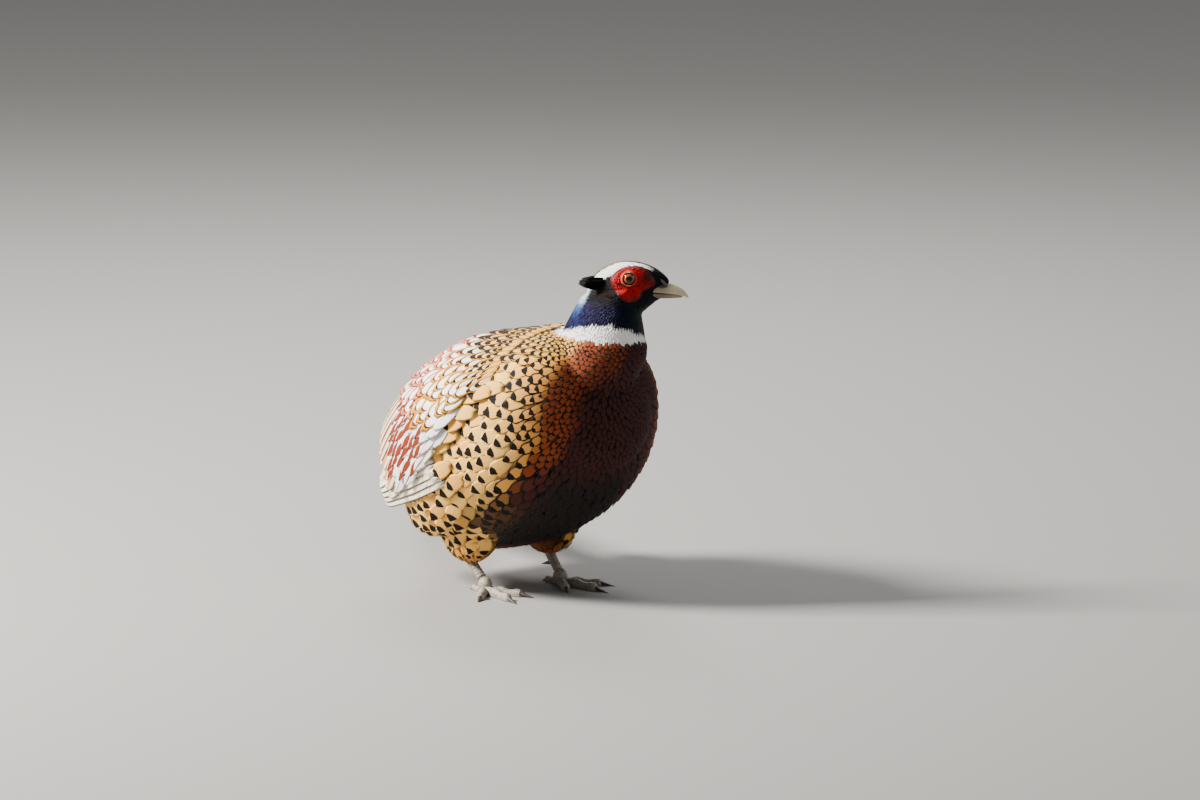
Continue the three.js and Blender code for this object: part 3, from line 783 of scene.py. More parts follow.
def ring_share(points):
    """How far a place of the head and neck lies in the white ring, 0 to 1."""
    h = to_head(points)
    x, _, z = h.T
    wander = 0.6 * np.sin(neck_turn(h) * 13) + 0.4 * np.sin(x * 0.8)
    upper = -35.8 - np.where(x > NECK_AXIS, 0.0098, 0.0078) * (x - NECK_AXIS) ** 2 + wander
    return smooth(upper - z, -1.2, 1.2)


def back_line(x):
    """The way to the left of the back's ridge, as the body bends towards the tail."""
    return BODY["sway"] * np.minimum(x / BODY["rear"], 0) ** 2


def body_level(x):
    """The height of the body's axis."""
    return BODY["height"] + BODY["slope"] * x


def body_place(points):
    """Angle from the back's ridge in degrees, and the angle round the breast's front pole."""
    x, y, z = points.T
    level = body_level(x)
    ridge = np.degrees(np.arctan2(np.abs(y - back_line(x)), z - level))
    front = np.degrees(np.arctan2(np.hypot(y, z - level), x - 60))
    return ridge, front


def body_shares(points):
    """How much of each region of the body's coat a place has, 0 to 1; the dark regions reach further round
    the left side, as painted shade.
    """
    ridge, front = body_place(points)
    x, y, z = points.T
    # Painted shade: on the bird's left side the copper, the black-rimmed scales and the maroon reach further
    # back than on its right, though the real bird is alike on both sides.
    left = smooth(y, 0, 30)
    edge_gold = 50 + 34 * smooth(ridge, 100, 140) + 24 * left
    edge_dark = 27 + 14 * smooth(ridge, 100, 130) + 28 * smooth(ridge, 125, 150) + 34 * left
    dark = smooth(edge_dark - front, -9, 9)
    mantle_edge = along_points(x, [(40, 56), (67, 55), (79, 48), (103, 33), (117, 8)])
    mantle = smooth(mantle_edge - ridge, -4, 4) * smooth(x, 20, 40) * (1 - smooth(x, 108, 118))
    off_thigh = 1 - (1 - smooth(np.hypot(x + 12, z - 54), 30, 42)) * smooth(np.abs(y), 30, 44)
    belly = smooth(ridge, 138, 152) * (1 - smooth(x, 96, 112)) * off_thigh
    return SimpleNamespace(
        copper=smooth(edge_gold - front, -6, 6),
        dark=np.maximum(dark, smooth(ridge, 120, 136) * smooth(x, -6, 30) * off_thigh),
        scaly=smooth(edge_gold + 15 - front, -9, 9),
        mantle=mantle,
        rump=(1 - smooth(ridge, 66, 84)) * (1 - smooth(x, -30, 20)),
        belly=belly,
        band=smooth(ridge, 128, 142) * (1 - belly) * (1 - 0.4 * smooth(x, 0, 60)) * off_thigh,
        vent=(1 - smooth(x, -96, -62)) * smooth(ridge, 84, 110),
        low=smooth(44 - z, 0, 18),
    )


def gold_share(x, angle):
    """How far the upper side's feathers are golden with black marks, and not white within their rims."""
    return smooth(x - angle + 35, 26, 58)


def body_paint(points, random):
    """The attributes of body feathers at their roots."""
    part = body_shares(points)
    copper, scaly, mantle = part.copper, part.scaly, part.mantle
    rump, belly, low = part.rump, part.belly, part.low
    count = len(points)
    x, _, z = points.T
    drift = np.sin(x * 0.09 + z * 0.05) * np.sin(z * 0.08 + 1.3 + x * 0.03)
    varied = smooth(0.5 + 0.4 * drift + 0.25 * (random.random(count) - 0.5), 0, 1)
    ground = layered(
        "gold",
        ("buff", 0.4 + varied * 0.6),
        ("gold", scaly * 0.8),
        ("amber", mantle * 0.85),
        ("copper", np.maximum(copper * (1 - mantle), part.band * 0.7)),
        ("maroon", part.dark * 0.9),
        ("rump", rump),
        ("belly", belly),
        ("vent", np.maximum(part.vent, low * 0.7)),
    )
    front = gold_share(x, body_place(points)[0])
    warm = copper * (1 - part.dark) * (1 - mantle)
    centre = layered(ground, ("cream", mantle * (1 - 0.92 * front)), ("orange", warm * 0.12))
    rimmed = np.clip(3 * scaly + mantle * smooth(front, 0.7, 1), 0, 1) * (1 - belly) * (1 - low)
    flank = (1 - copper) * (1 - rump) * (1 - belly) * (1 - part.vent) * (1 - mantle)
    edge = layered(ground, ("buff", 0.3 * flank), ("ink", rimmed), ("maroon", rump * 0.8))
    rim = 0.24 * scaly * (1 - belly) * (1 - 0.7 * mantle) + 0.12 * mantle * (1 - scaly) + 0.12 * rump
    spot = (0.74 * flank + 0.8 * mantle * front) * (1 - 0.6 * low) + 0.6 * warm
    spot = np.maximum(0.01, spot * random.uniform(0.8, 1.1, count))
    line = (0.1 + 0.09 * front) * mantle
    form = FORM * np.ones((count, 1))
    form[:, 0] = 0.07 + (0.13 + 0.1 * front) * mantle
    form[:, 1] += 0.07 * np.maximum(copper, mantle)
    return paint(random, count, ground, centre, edge, marks=np.stack([rim, spot, line], 1), form=form)


def paint(random, count, ground, centre=None, edge=None, ink="ink", marks=(0, 0, 0), form=FORM):
    """The attributes of feathers from colours and marks, each for all of them or one a feather."""
    centre = ground if centre is None else centre
    edge = ground * 0.6 if edge is None else edge
    values = {"ground": ground, "centre": centre, "edge": edge, "ink": ink, "marks": marks, "form": form}
    for key, value in values.items():
        values[key] = np.asarray(PAINT[value] if isinstance(value, str) else value) * np.ones((count, 1))
    values["shade"] = random.random(count)
    return values


# The skin

def make_skin():
    forms = [
        (trunk_form, 96, 64),
        (ball_form(CROP["at"], CROP["radii"], COAT["body"]), 64, 40),
        (neck_form, 72, 60),
        (station_form(HEAD_ROWS, HEAD_SHAPE, -COAT["head"]), 64, 64),
    ]
    for side in (RIGHT, LEFT):
        x, y, z = THIGH["at"]
        forms.append((ball_form((x, side * y, z), THIGH["radii"], COAT["thigh"]), 64, 40))
    forms.append((ball_form(from_tail([14, 0, -9]), (30, 22, 14), 1.0), 64, 40))  # the tail's root
    skin = joined([round_form("part", *form) for form in forms], "skin")
    remesh = skin.modifiers.new("one surface", "REMESH")
    remesh.mode = "VOXEL"
    remesh.voxel_size = SKIN_VOXEL
    soften = skin.modifiers.new("soften", "SMOOTH")
    soften.factor = 0.5
    soften.iterations = 6
    return applied(skin)


skin = make_skin()
skin_corners, skin_tree = surface_of(skin.data)


def region_of_head(points):
    """How far a place belongs to the head and neck, above the ring's lower edge, 0 to 1."""
    h = to_head(points)
    x, y, z = h.T
    wander = 0.4 * np.sin(neck_turn(h) * 9) + 0.3 * np.sin(x * 0.8)
    lower = -50.6 - 0.09 * (x + 25) + wander
    outside = smooth(np.hypot(x - NECK_AXIS, y), 44, 50) * smooth(-z, 26, 36)
    return smooth(z - lower, -1.5, 1.5) * (1 - outside)


def skin_paint(points):
    body = body_paint(points, np.random.default_rng(3))["ground"] * 0.7
    head = blend(head_paint(points), PAINT["white"] * 0.8, ring_share(points))
    return blend(body, head, region_of_head(points))


painted(skin, skin_paint(coordinates(skin.data)))


def skin_build(n):
    grain = n.noise(n.place(), 900.0)
    colour = n.shaded(*n.colours("ground"), grain * 0.6 + 0.55)
    return colour, 0.85, n.bump(grain, 0.4, 0.0004)


skin_finish = new_finish("skin_under_coat", skin_build)
settle(skin, skin_finish, "body_plumage", "torso", "neck", "head", "thigh_right", "thigh_left")


# Coats

def bake_place(points, head=False):
    """A root's place on an unwrap of the skin: round its axis and along it."""
    if head:
        h = to_head(points)
        u = np.arctan2(h[:, 1], h[:, 0] - NECK_AXIS + 0.3 * h[:, 2])
        v = h[:, 2] - 0.4 * h[:, 0]
    else:
        v, y, z = points.T
        u = np.arctan2(y, z - body_level(v))
    spread = [(a - a.min()) / max(1e-6, a.max() - a.min()) for a in (u, v)]
    return np.stack(spread, 1) * 0.97 + 0.015


def coat(name, chosen, size, lift, values, material, slot, seed, profile=BODY_PROFILE, columns=7, head=False,
         stretch=2.3, breadth=0.62, jitter=5.0, **shape):
    """A piece of coat on chosen roots; size is their spacing, and lift the height of root and tip."""
    points, normals = chosen
    random = np.random.default_rng(seed)
    count = len(points)
    ways = flow(points, normals)
    ways = turn_ways(ways, normals, np.radians(random.normal(0, jitter, count)))
    length = size * stretch * random.uniform(0.92, 1.08, count)
    rise = lift * random.uniform(0.85, 1.15, (count, 1))
    start = points - ways * (length * 0.5)[:, None]
    found = [skin_tree.find_nearest(p) for p in start]
    start, normals = (np.array([place[k] for place in found]) for k in (0, 1))
    ways = unit(ways - dot(ways, normals) * normals)
    lines = traced(skin_tree, start, normals, ways, length, rise, profile)
    halves = size * breadth * random.uniform(0.92, 1.08, count)
    piece = vanes(name, lines, halves, profile, columns, values, bake_place(points, head), seed + 1, **shape)
    settle(piece, material, slot)


def body_spacing(points):
    _, front = body_place(points)
    part = body_shares(points)
    size = 4.4 + 6.4 * smooth(front, 34, 82)
    mantle_size = 4.6 + 0.12 * np.clip(104 - points[:, 0], 0, 54)
    for other, share in ((mantle_size, part.mantle), (7.6, part.rump), (8.0, part.belly), (6.0, part.low)):
        size = size * (1 - share) + share * other
    near = np.linalg.norm(points - from_head([NECK_AXIS, 0, -54]), axis=1)
    return np.minimum(size, 3.2 + 0.13 * np.maximum(near - 34, 0))


WING_EDGE = [
    (0, 56), (20, 58), (50, 62), (60, 64), (72, 53), (78, 47), (84, 34), (91, 17), (98, 14), (106, 26),
    (112, 20),
]


def wing_edge(angle):
    """Where the flank's feathers end over the folded wing, x for an angle from the back's ridge."""
    return along_points(angle, WING_EDGE)


def under_wing(points):
    """Where the folded wing hides the body's own coat."""
    ridge, _ = body_place(points)
    x = points[:, 0]
    rear = along_points(ridge, [(6, -20), (30, -60), (60, -96)])
    reach = 2 + 20 * (1 - smooth(ridge, 50, 62))
    return (ridge > 6) & (ridge < 108) & (x < wing_edge(ridge) - reach) & (x > rear)


body_roots = scatter(
    skin_corners, skin_tree, 21, lambda p: (region_of_head(p) < 0.5) & ~under_wing(p), body_spacing,
)
plumage = new_finish("body_feathers", plumage_build(0.7), specular_ior_level=0.18)


def pick(roots, mask):
    return roots[0][mask].copy(), roots[1][mask].copy()


def lay_body():
    points = body_roots[0]
    x = points[:, 0]
    size = body_spacing(points)
    ridge, _ = body_place(points)
    part = body_shares(points)
    values = body_paint(points, np.random.default_rng(31))
    under = smooth(ridge, 112, 120)
    over_wing = smooth(wing_edge(ridge) + 20 - x, 0, 16) * smooth(ridge, 56, 66) * (1 - under)
    over_thigh = under * (1 - smooth(ridge, 132, 138)) * (1 - smooth(np.abs(x + 12), 30, 52))
    high = np.clip((0.3 - 0.16 * (1 - np.maximum(part.scaly, part.mantle))) * size, 1.2, 3.0)
    rise = np.stack([0.2 + 1.5 * over_wing, high + 4.0 * over_wing + 7.0 * over_thigh], 1)
    right = points[:, 1] < back_line(x)
    behind = part.copper <= 0.5
    regions = {
        "breast": ~behind,
        "mantle": behind & (ridge < 60) & (x > 20),
        "rump": behind & (ridge < 80) & (x <= 20),
        "belly": behind & (ridge > 140),
        "flank": behind,
    }
    broad = {"profile": BROAD_PROFILE, "columns": 9, "round_tip": 0.24, "cup": 0.03, "fray": 0.035}
    narrow = {"profile": BODY_PROFILE, "columns": 7, "round_tip": 0.34, "cup": 0.06, "fray": 0.06}
    taken = np.zeros(len(points), bool)
    seed = 40
    for region, mask in regions.items():
        mask = mask & ~taken
        taken |= mask
        for side, word in WORDS.items():
            chosen = mask & (right == (side == RIGHT))
            seed += 2
            coat(f"{region}_feathers_{word}", pick(body_roots, chosen), size[chosen], rise[chosen],
                 {key: value[chosen] for key, value in values.items()}, plumage, "body_plumage", seed,
                 **(broad if region in ("flank", "mantle") else narrow))


lay_body()


def head_spacing(points):
    h = to_head(points)
    size = 1.4 + 0.4 * smooth(-h[:, 2], 20, 40)
    return size - 0.2 * smooth(h[:, 0], 8, 24)


def off_wattle(points):
    """True away from the bare skin round the eyes and from the bill."""
    h = to_head(points)
    angle = np.arctan2(h[:, 2], h[:, 0])
    radius = np.hypot(h[:, 0], h[:, 2])
    return (radius > wattle_radius(angle) * 0.94) | (np.abs(h[:, 1]) < 6)


def wattle_radius(angle):
    turn = (np.asarray(angle) / (2 * np.pi)) % 1
    values = WATTLE_RADII
    count = len(values)
    return spline([values[-1], *values, values[0], values[1]], (turn * count + 1) / (count + 2))


head_roots = scatter(
    skin_corners, skin_tree, 22,
    lambda p: (region_of_head(p) > 0.5) & off_wattle(p) & (to_head(p)[:, 0] < 31),
    head_spacing,
)
gloss = new_finish("neck_feathers", plumage_build(0.4, soft=0.5), metallic=0.4, specular_ior_level=0.1)
face = new_finish("face_feathers", plumage_build(0.65, soft=0.4), specular_ior_level=0.12)
dull = new_finish("ring_feathers", plumage_build(0.8, soft=0.15, root=0.96, varied=0.06),
                  specular_ior_level=0.2)


def lay_head():
    points = head_roots[0]
    size = head_spacing(points)
    _, y, z = to_head(points).T
    ring = ring_share(points)
    colour = blend(head_paint(points), "white", ring)
    random = np.random.default_rng(61)
    rise = np.stack([0.1 + 0 * size, 0.28 * size], 1)
    on_neck = (ring <= 0.5) & (z < THROAT)
    on_face = (ring <= 0.5) & (z >= THROAT)
    parts = {
        "ring_feathers": (ring > 0.5, dull, "neck_plumage"),
        "neck_feathers": (on_neck, gloss, "neck_plumage"),
        "face_feathers_right": (on_face & (y < 0), face, "head_plumage"),
        "face_feathers_left": (on_face & (y >= 0), face, "head_plumage"),
    }
    rounded = {"stretch": 3.2, "breadth": 0.95, "fray": 0.08}
    pointed = {"stretch": 4.0, "breadth": 0.78, "fray": 0.16}
    for k, (name, (mask, material, slot)) in enumerate(parts.items()):
        ground = colour[mask]
        values = paint(random, len(ground), ground, edge=ground * 0.9, marks=(0.1, 0.01, 0))
        coat(name, pick(head_roots, mask), size[mask], rise[mask], values, material, slot, 72 + 2 * k,
             profile=SMALL_PROFILE, columns=5, head=True, round_tip=0.3, thick=0.1, bow=24.0, jitter=9.0,
             **(rounded if name == "ring_feathers" else pointed))


lay_head()


# Wings

def shell(side, x, angle):
    """The folded wing's smooth shell: a point, the way round it and the way out, angle in degrees."""
    def at(px, pa):
        return egg(np.maximum(px, -0.98 * WING_REAR), side * np.radians(pa), rear=WING_REAR)

    point = at(x, angle)
    along = at(x - 0.5, angle) - at(x + 0.5, angle)
    around = unit(at(x, angle + 0.3) - at(x, angle - 0.3))
    out = unit(np.cross(around, along)) * side
    centre = np.stack([x, 0 * x, body_level(x)], -1)
    out = np.where(dot(out, point - centre) < 0, -out, out)
    return point, around, out


def wing_lift(x, angle):
    """How far the wing's feathers stand off the shell: nothing at its front edge and at the back's ridge."""
    above = 1 - smooth(angle, 50, 66)
    inward = smooth(wing_edge(angle) + 10 - 12 * above - x, -4, 30 + 34 * above)
    return (-4.5 + 6.3 * inward) * smooth(angle, 0, 24) - 4.5 * (1 - smooth(angle, 0, 24))


def on_shell(side, roots, tips, profile, lift, tilt=0.0, base=None):
    """Feather lines from roots to tips, both pairs of x and angle, over the wing's shell or a base on it."""
    s = np.array([p[0] for p in profile])
    x, angle = (roots[:, k, None] + (tips - roots)[:, k, None] * s for k in (0, 1))
    point, around, out = shell(side, x, angle)
    rise = lift[:, 0, None] + (lift[:, 1] - lift[:, 0])[:, None] * s
    if base is not None:
        rise = rise + base(x, angle)
    middle = point + out * rise[..., None]
    along = unit(np.gradient(middle, axis=1))
    across = unit(unit(around - dot(around, along) * along) + out * tilt)
    return middle, across, unit(np.cross(across, along)) * side


def rows_over(x_from, x_to, spacing, step, low, high, seed):
    """Staggered rows of roots, x and angle, and each one's spacing; low and high give a row's angles."""
    random = np.random.default_rng(seed)
    roots = []
    x, r = x_from, 0
    while x > x_to:
        size = spacing(x)
        gap = math.degrees(size / WING_ROUND)
        first, last = low(x), high(x)
        count = max(1, int(round((last - first) / gap)))
        for k in range(count + r % 2):
            angle = first + (last - first) * (k + 0.5 - 0.5 * (r % 2)) / count
            off = random.normal(0, 0.1, 2)
            roots.append((x + off[0] * size, angle + off[1] * gap, size))
        x -= step * size
        r += 1
    return np.array(roots)


WING_PROFILE = [(0, 0.4), (0.25, 0.8), (0.45, 0.98), (0.62, 1.0), (0.78, 0.98), (0.9, 0.9), (1.0, 0.74)]
LONG_PROFILE = [(s, 0.5 + 0.5 * min(1, s / 0.3)) for s in np.linspace(0, 0.7, 10)]
LONG_PROFILE += [
    (s, math.sqrt(max(0.03, 1 - ((s - 0.7) / 0.305) ** 2))) for s in (0.78, 0.86, 0.92, 0.96, 0.985, 1)
]


def tract(name, side, roots, lift, values, seed, sink, stretch=2.7):
    """A wing's tract of body-like feathers over its shell; sink turns each one downwards, in degrees."""
    random = np.random.default_rng(seed)
    x, angle, size = roots.T
    count = len(size)
    reach = stretch * size * random.uniform(0.94, 1.06, count)
    turn = np.radians(sink + random.normal(0, 4, count))
    tips = np.stack([x - reach * np.cos(turn), angle + np.degrees(reach * np.sin(turn) / WING_ROUND)], 1)
    rise = np.stack([lift[0] + 0 * size, lift[1] * size / 9], 1) + random.uniform(-0.2, 0.2, (count, 1))
    lines = on_shell(side, roots[:, :2], tips, WING_PROFILE, rise, base=wing_lift)
    halves = 0.66 * size * random.uniform(0.94, 1.06, count)
    place = np.stack([(x + 80) / 170, angle / 115], 1)
    piece = vanes(f"{name}_{WORDS[side]}", lines, halves, WING_PROFILE, 9, values, place, seed + 1,
                  round_tip=0.3, cup=0.08, thick=0.3, fray=0.04, bow=110.0)
    settle(piece, plumage, "wing_feathers", f"wing_{WORDS[side]}")


def wing_pad(side):
    """The wing's own body, below its feathers."""
    def place(station, angle):
        ring = np.sqrt(np.maximum(0, 1 - station**2))
        x = 2 + 64 * power(np.cos(angle), 0.8) * ring
        theta = 60 + 46 * power(np.sin(angle), 0.8) * ring
        top = wing_lift(x, theta) - 0.8
        lift = np.where(station > 0, np.minimum(top, 2.0) * (1 - ring**8) - 5 * ring**8, -6 + 0 * x)
        point, _, out = shell(side, x, theta)
        return point + out * lift[:, None]

    pad = round_form(f"wing_pad_{WORDS[side]}", place, 64, 40)
    painted(pad, tint(150, 110, 76))
    settle(pad, skin_finish, "wing_feathers", f"wing_{WORDS[side]}")


def flight_build(n):
    """Long feathers: bars across both webs, an edge of another colour, a shaft, barbs."""
    across, along, _, streak, shaft, relief = n.vane(160.0)
    ground, centre, edge, ink = n.colours("ground", "centre", "edge", "ink")
    count, share, rim = n.parts(n.attribute("marks", "Vector"))
    shade = n.attribute("shade")
    wide = abs(across)
    drift = n.noise(n.combine(along * 9.0, across, shade), 1.0, 2.0)
    phase = (along - wide * 0.02) * count + drift * 0.9
    wave = n.math("SINE", phase * (2 * math.pi)) * 0.5 + 0.5 + streak * 0.2
    patchy = n.noise(n.combine(along * 14.0, across * 2.0, shade), 1.0, 2.0)
    whole = n.math("MAXIMUM", n.step(patchy, 0.4, 0.6), n.step(share, 0.2, 0.34))
    bar = n.step(wave, 1.1 - share, 1.3 - share) * whole
    colour = n.mix(n.step(wide, 0.25, 0.5), centre, ground)
    colour = n.mix(bar, colour, ink)
    colour = n.mix(n.step(wide, 0.85 - rim, 1.1 - rim), colour, edge)
    colour = n.shaded(colour, streak * 0.5 + shade * 0.2 + 0.65)
    colour = n.mix(shaft * 0.6, colour, tint(96, 70, 48))
    return colour, 0.6, n.bump(relief, 0.5, BARB_DEPTH)


flight = new_finish("flight_feathers", flight_build, sheen_weight=0.1)

# A wing's tiers of long feathers. Pairs go from the first feather to the last, and lift from root to tip.
# Webs are the colours of web, centre, edge and bars, and bars their count, share and the edge's width.
QUILLS = {
    "tertials": {
        "count": 12, "root_x": (-34, 10), "tip_x": (-116, -58), "root": (14, 72), "tip": (48, 103),
        "half": 9.0, "lift": (2.8, 3.4), "bars": (7, 0.08, 0.16), "seed": 15,
        "webs": (tint(240, 212, 162), tint(188, 124, 72), tint(252, 238, 210), tint(206, 164, 116)),
    },
    "secondaries": {
        "count": 9, "root_x": (-30, 22), "tip_x": (-118, -68), "root": (40, 90), "tip": (58, 107),
        "half": 8.0, "lift": (1.5, 1.3), "bars": (11, 0.14, 0.08), "seed": 17,
        "webs": (tint(252, 238, 208), tint(232, 206, 166), tint(158, 118, 86), tint(220, 196, 168)),
    },
    "primaries": {
        "count": 5, "root_x": (17, 27), "tip_x": (-126, -108), "root": (95, 108), "tip": (98, 110),
        "half": 6.5, "lift": (0.5, 0.0), "bars": (14, 0.2, 0.12), "seed": 19,
        "webs": (tint(252, 240, 216), tint(232, 212, 180), tint(86, 66, 52), tint(190, 166, 140)),
    },
}


def quills(name, side):
    """A tier of long wing feathers, the uppermost lying on the ones below it."""
    tier = SimpleNamespace(**QUILLS[name])
    random = np.random.default_rng(tier.seed)
    roots = np.stack([np.linspace(*tier.root_x, tier.count), np.linspace(*tier.root, tier.count)], 1)
    tips = np.stack([np.linspace(*tier.tip_x, tier.count), np.linspace(*tier.tip, tier.count)], 1)
    tips[:, 0] += random.normal(0, 1.2, tier.count)
    rise = np.array(tier.lift) + np.linspace(1.2, 0, tier.count)[:, None]
    base = dive_under_flank if name == "primaries" else None
    lines = on_shell(side, roots, tips, LONG_PROFILE, rise, tilt=0.12, base=base)
    place = np.stack([np.full(tier.count, 0.5), (np.arange(tier.count) + 0.5) / tier.count], 1)
    values = paint(random, tier.count, *tier.webs, tier.bars)
    halves = np.full(tier.count, tier.half)
    piece = vanes(f"{name}_{WORDS[side]}", lines, halves, LONG_PROFILE, 9, values, place, tier.seed + 1,
                  round_tip=0.02, cup=0.08, thick=0.3, fray=0.01, bow=140.0, patch=(0.9, 0.8 / tier.count))
    settle(piece, flight, "wing_feathers", f"wing_{WORDS[side]}")


def dive_under_flank(x, angle):
    """How far the primaries' roots go in, so that the flank's feathers lie over them."""
    return np.minimum(0, wing_lift(x, angle))


def scapular_low(x):
    """The angle at which the scapulars end at x."""
    return along_points(x, [(-60, 38), (-40, 45), (-22, 53), (10, 66), (28, 73), (48, 71), (66, 58)])


def covert_low(x):
    return along_points(x, [(-62, 72), (-39, 86), (-17, 95), (10, 92), (25, 86), (46, 76)])


def scapulars(side, random):
    """Feathers with white or golden centres, dark lines and orange or pink edges."""
    roots = rows_over(70, -38, lambda x: 10.6 - 4.8 * smooth(x, 26, 76), 0.95, lambda x: 3, scapular_low, 5)
    x, angle, _ = roots.T
    front = gold_share(x, angle)
    warm = np.maximum(front, smooth(x + 0.9 * (angle - 40), 4, 40))
    pinker = (1 - warm) * smooth(random.random(len(x)), -0.5, 0.6)
    ground = layered("orange", ("pink", pinker * 0.85), ("amber", warm * 0.8))
    edge = blend(ground, "cream", 0.15 * (1 - warm))
    ink = blend(tint(104, 34, 28), "ink", smooth(x, 14, 40))
    centre = blend("cream", "amber", front * 0.92)
    marks = np.stack([0.16 + 0 * x, 0.01 + 0.7 * front, 0.08 + 0.09 * front], 1)
    form = np.stack([0.19 + 0.06 * front, 0.92 + 0 * x, 0.08 + 0.05 * front], 1)
    values = paint(random, len(x), ground, centre, edge, ink, marks, form)
    tract("scapulars", side, roots, (0.3, 4.0), values, 11, 8 + 30 * smooth(angle, 20, 62))


def coverts(side, random):
    """White feathers with a brick-red drop each."""
    roots = rows_over(46, -32, lambda x: 8.8, 1.0, lambda x: scapular_low(x) - 3, covert_low, 6)
    x, angle, _ = roots.T
    red = smooth(30 - x, 0, 14) * smooth(covert_low(x) - angle, -2, 4) * (random.random(len(x)) > 0.1)
    marks = np.stack([0.05 + 0 * x, 0.01 + 0.6 * red * random.uniform(0.8, 1.1, len(x)), 0 * x], 1)
    drop = blend("brick", tint(150, 92, 52), smooth(-x, 30, 60))
    edge = PAINT["cream"] * 0.9
    values = paint(random, len(x), "lavender", "lavender", edge, drop, marks, (0.1, 0.72, 0.3))
    tract("coverts", side, roots, (0.3, 4.2), values, 13, 38.0, stretch=2.9)


def make_wing(side):
    wing_pad(side)
    random = np.random.default_rng(90 + side)
    scapulars(side, random)
    coverts(side, random)
    for name in QUILLS:
        quills(name, side)


for side in (RIGHT, LEFT):
    make_wing(side)


# Tail

def tail_height(x):
    s = x / TAIL["length"]
    return -(TAIL["root"][2] + 1.2) * (1.36 * s - 0.36 * s * s)


TAIL_PROFILE = []
for s in [*np.linspace(0, 0.9, 28), 0.93, 0.955, 0.975, 0.99, 1.0]:
    end = 1.0 if s < 0.9 else math.sqrt(max(0.02, 1 - ((s - 0.9) / 0.102) ** 2))
    TAIL_PROFILE.append((s, (0.55 + 0.45 * min(1, s / 0.12)) * (1 - 0.62 * s) * end))


def tail_way(x, y, z):
    """A direction of the tail's frame, in the bird's frame."""
    return from_tail([x, y, z]) - from_tail([0, 0, 0])


def tail_lines(length, offset, splay, layer, start, profile, droop=0.004, settled=0.0):
    """Middle lines of tail feathers; length, offset, splay and layer are one value each feather."""
    s = np.array([p[0] for p in profile])
    x = start + (length[:, None] - start) * s
    y = offset[:, None] + x * np.tan(splay)[:, None]
    z = tail_height(x) - droop * y * y + layer[:, None] * (1 - settled * s)
    z = np.maximum(z, 0.7 - TAIL["root"][2])
    middle = from_tail(np.stack([x, y, z], -1))
    along = unit(np.gradient(middle, axis=1))
    up = np.array([0, 0, 1.0])
    across = unit(np.cross(along, up))
    lean = -2 * droop * y * np.where(across @ tail_way(0, 1.0, 0) > 0, 1, -1)
    across = unit(across + lean[..., None] * up)
    return middle, across, unit(np.cross(across, along))


def make_tail():
    random = np.random.default_rng(77)
    pairs = TAIL["pairs"]
    count = 2 * pairs
    k = np.repeat(np.arange(pairs), 2)
    f = k / (pairs - 1)
    side = np.tile([LEFT, RIGHT], pairs)
    length = TAIL["length"] - (TAIL["length"] - TAIL["outer"]) * f**1.1
    layer = -1.8 * k + np.where(side > 0, 0, 0.9) + 0.6
    splay = side * np.radians(0.35 + 1.15 * k)
    lines = tail_lines(length, side * (3 + 0.7 * k), splay, layer, 2, TAIL_PROFILE)
    bars = np.round(length / 19)
    values = paint(random, count, tint(168, 128, 84), tint(150, 122, 78), tint(140, 78, 62), tint(26, 18, 14),
                   np.stack([bars, 0.42 + 0 * bars, 0.22 + 0 * bars], 1))
    place = np.stack([np.full(count, 0.5), (np.arange(count) + 0.5) / count], 1)
    piece = vanes("tail_feathers", lines, TAIL["half"] - 2.5 * f, TAIL_PROFILE, 11, values, place, 78,
                  round_tip=0.0, cup=0.05, thick=0.35, fray=0.004, bow=160.0, patch=(0.94, 0.8 / count))
    settle(piece, flight, "tail_feathers", "tail")
    tail_coverts("upper", random, 70, (50, 110), (1.8, 6.5), 0.012, 0.8)
    tail_coverts("under", random, 60, (40, 80), (-24, -17), -0.02, 0.35)


def tail_coverts(name, random, count, sizes, layers, droop, settled):
    """Short feathers over or under the tail's root; sizes and layers go from the last laid to the first."""
    rank = random.permutation(count) / (count - 1)
    sideways = random.uniform(-1, 1, count)
    start = -26 + 16 * (1 - rank)
    high = layers[0] + (layers[1] - layers[0]) * rank
    length = sizes[1] + (sizes[0] - sizes[1]) * rank + start
    offset = sideways * (15 - 5 * rank)
    lines = tail_lines(length, offset, np.radians(sideways * 8), high, 0, WING_PROFILE, droop, settled)
    middle = lines[0] + tail_way(1.0, 0, 0) * start[:, None, None]
    if name == "upper":
        ground = blend("rump", tint(120, 112, 84), random.random(count))
        values = paint(random, count, ground, ground * 0.9, tint(132, 70, 54), marks=(0.14, 0, 0))
    else:
        values = paint(random, count, tint(74, 48, 34), marks=(0.1, 0, 0))
    place = np.stack([0.5 + 0.45 * sideways, rank * 0.9 + 0.05], 1)
    piece = vanes(f"{name}_tail_coverts", (middle, *lines[1:]), np.full(count, 6.5), WING_PROFILE, 7, values,
                  place, 79, round_tip=0.2, cup=0.06, fray=0.12, bow=60.0)
    settle(piece, plumage, "tail_feathers", "tail")


make_tail()


# Wattles, eyes, bill and ears

ROW_T = np.linspace(0, 1, 400)
ROW_SIZES = head_sizes(HEAD_ROWS, ROW_T)


def head_side(x, z):
    """Half width of the head's side at a point of its side view."""
    t = np.interp(x, ROW_SIZES[0], ROW_T)
    _, top, bottom, side = head_sizes(HEAD_ROWS, t)
    level = bottom + HEAD_SHAPE[1] * (top - bottom)
    off = np.abs(z - level) / np.where(z > level, top - level, level - bottom)
    off = np.minimum(0.97, off)
    return side * (1 - off ** (2 / HEAD_SHAPE[0])) ** (HEAD_SHAPE[0] / 2)


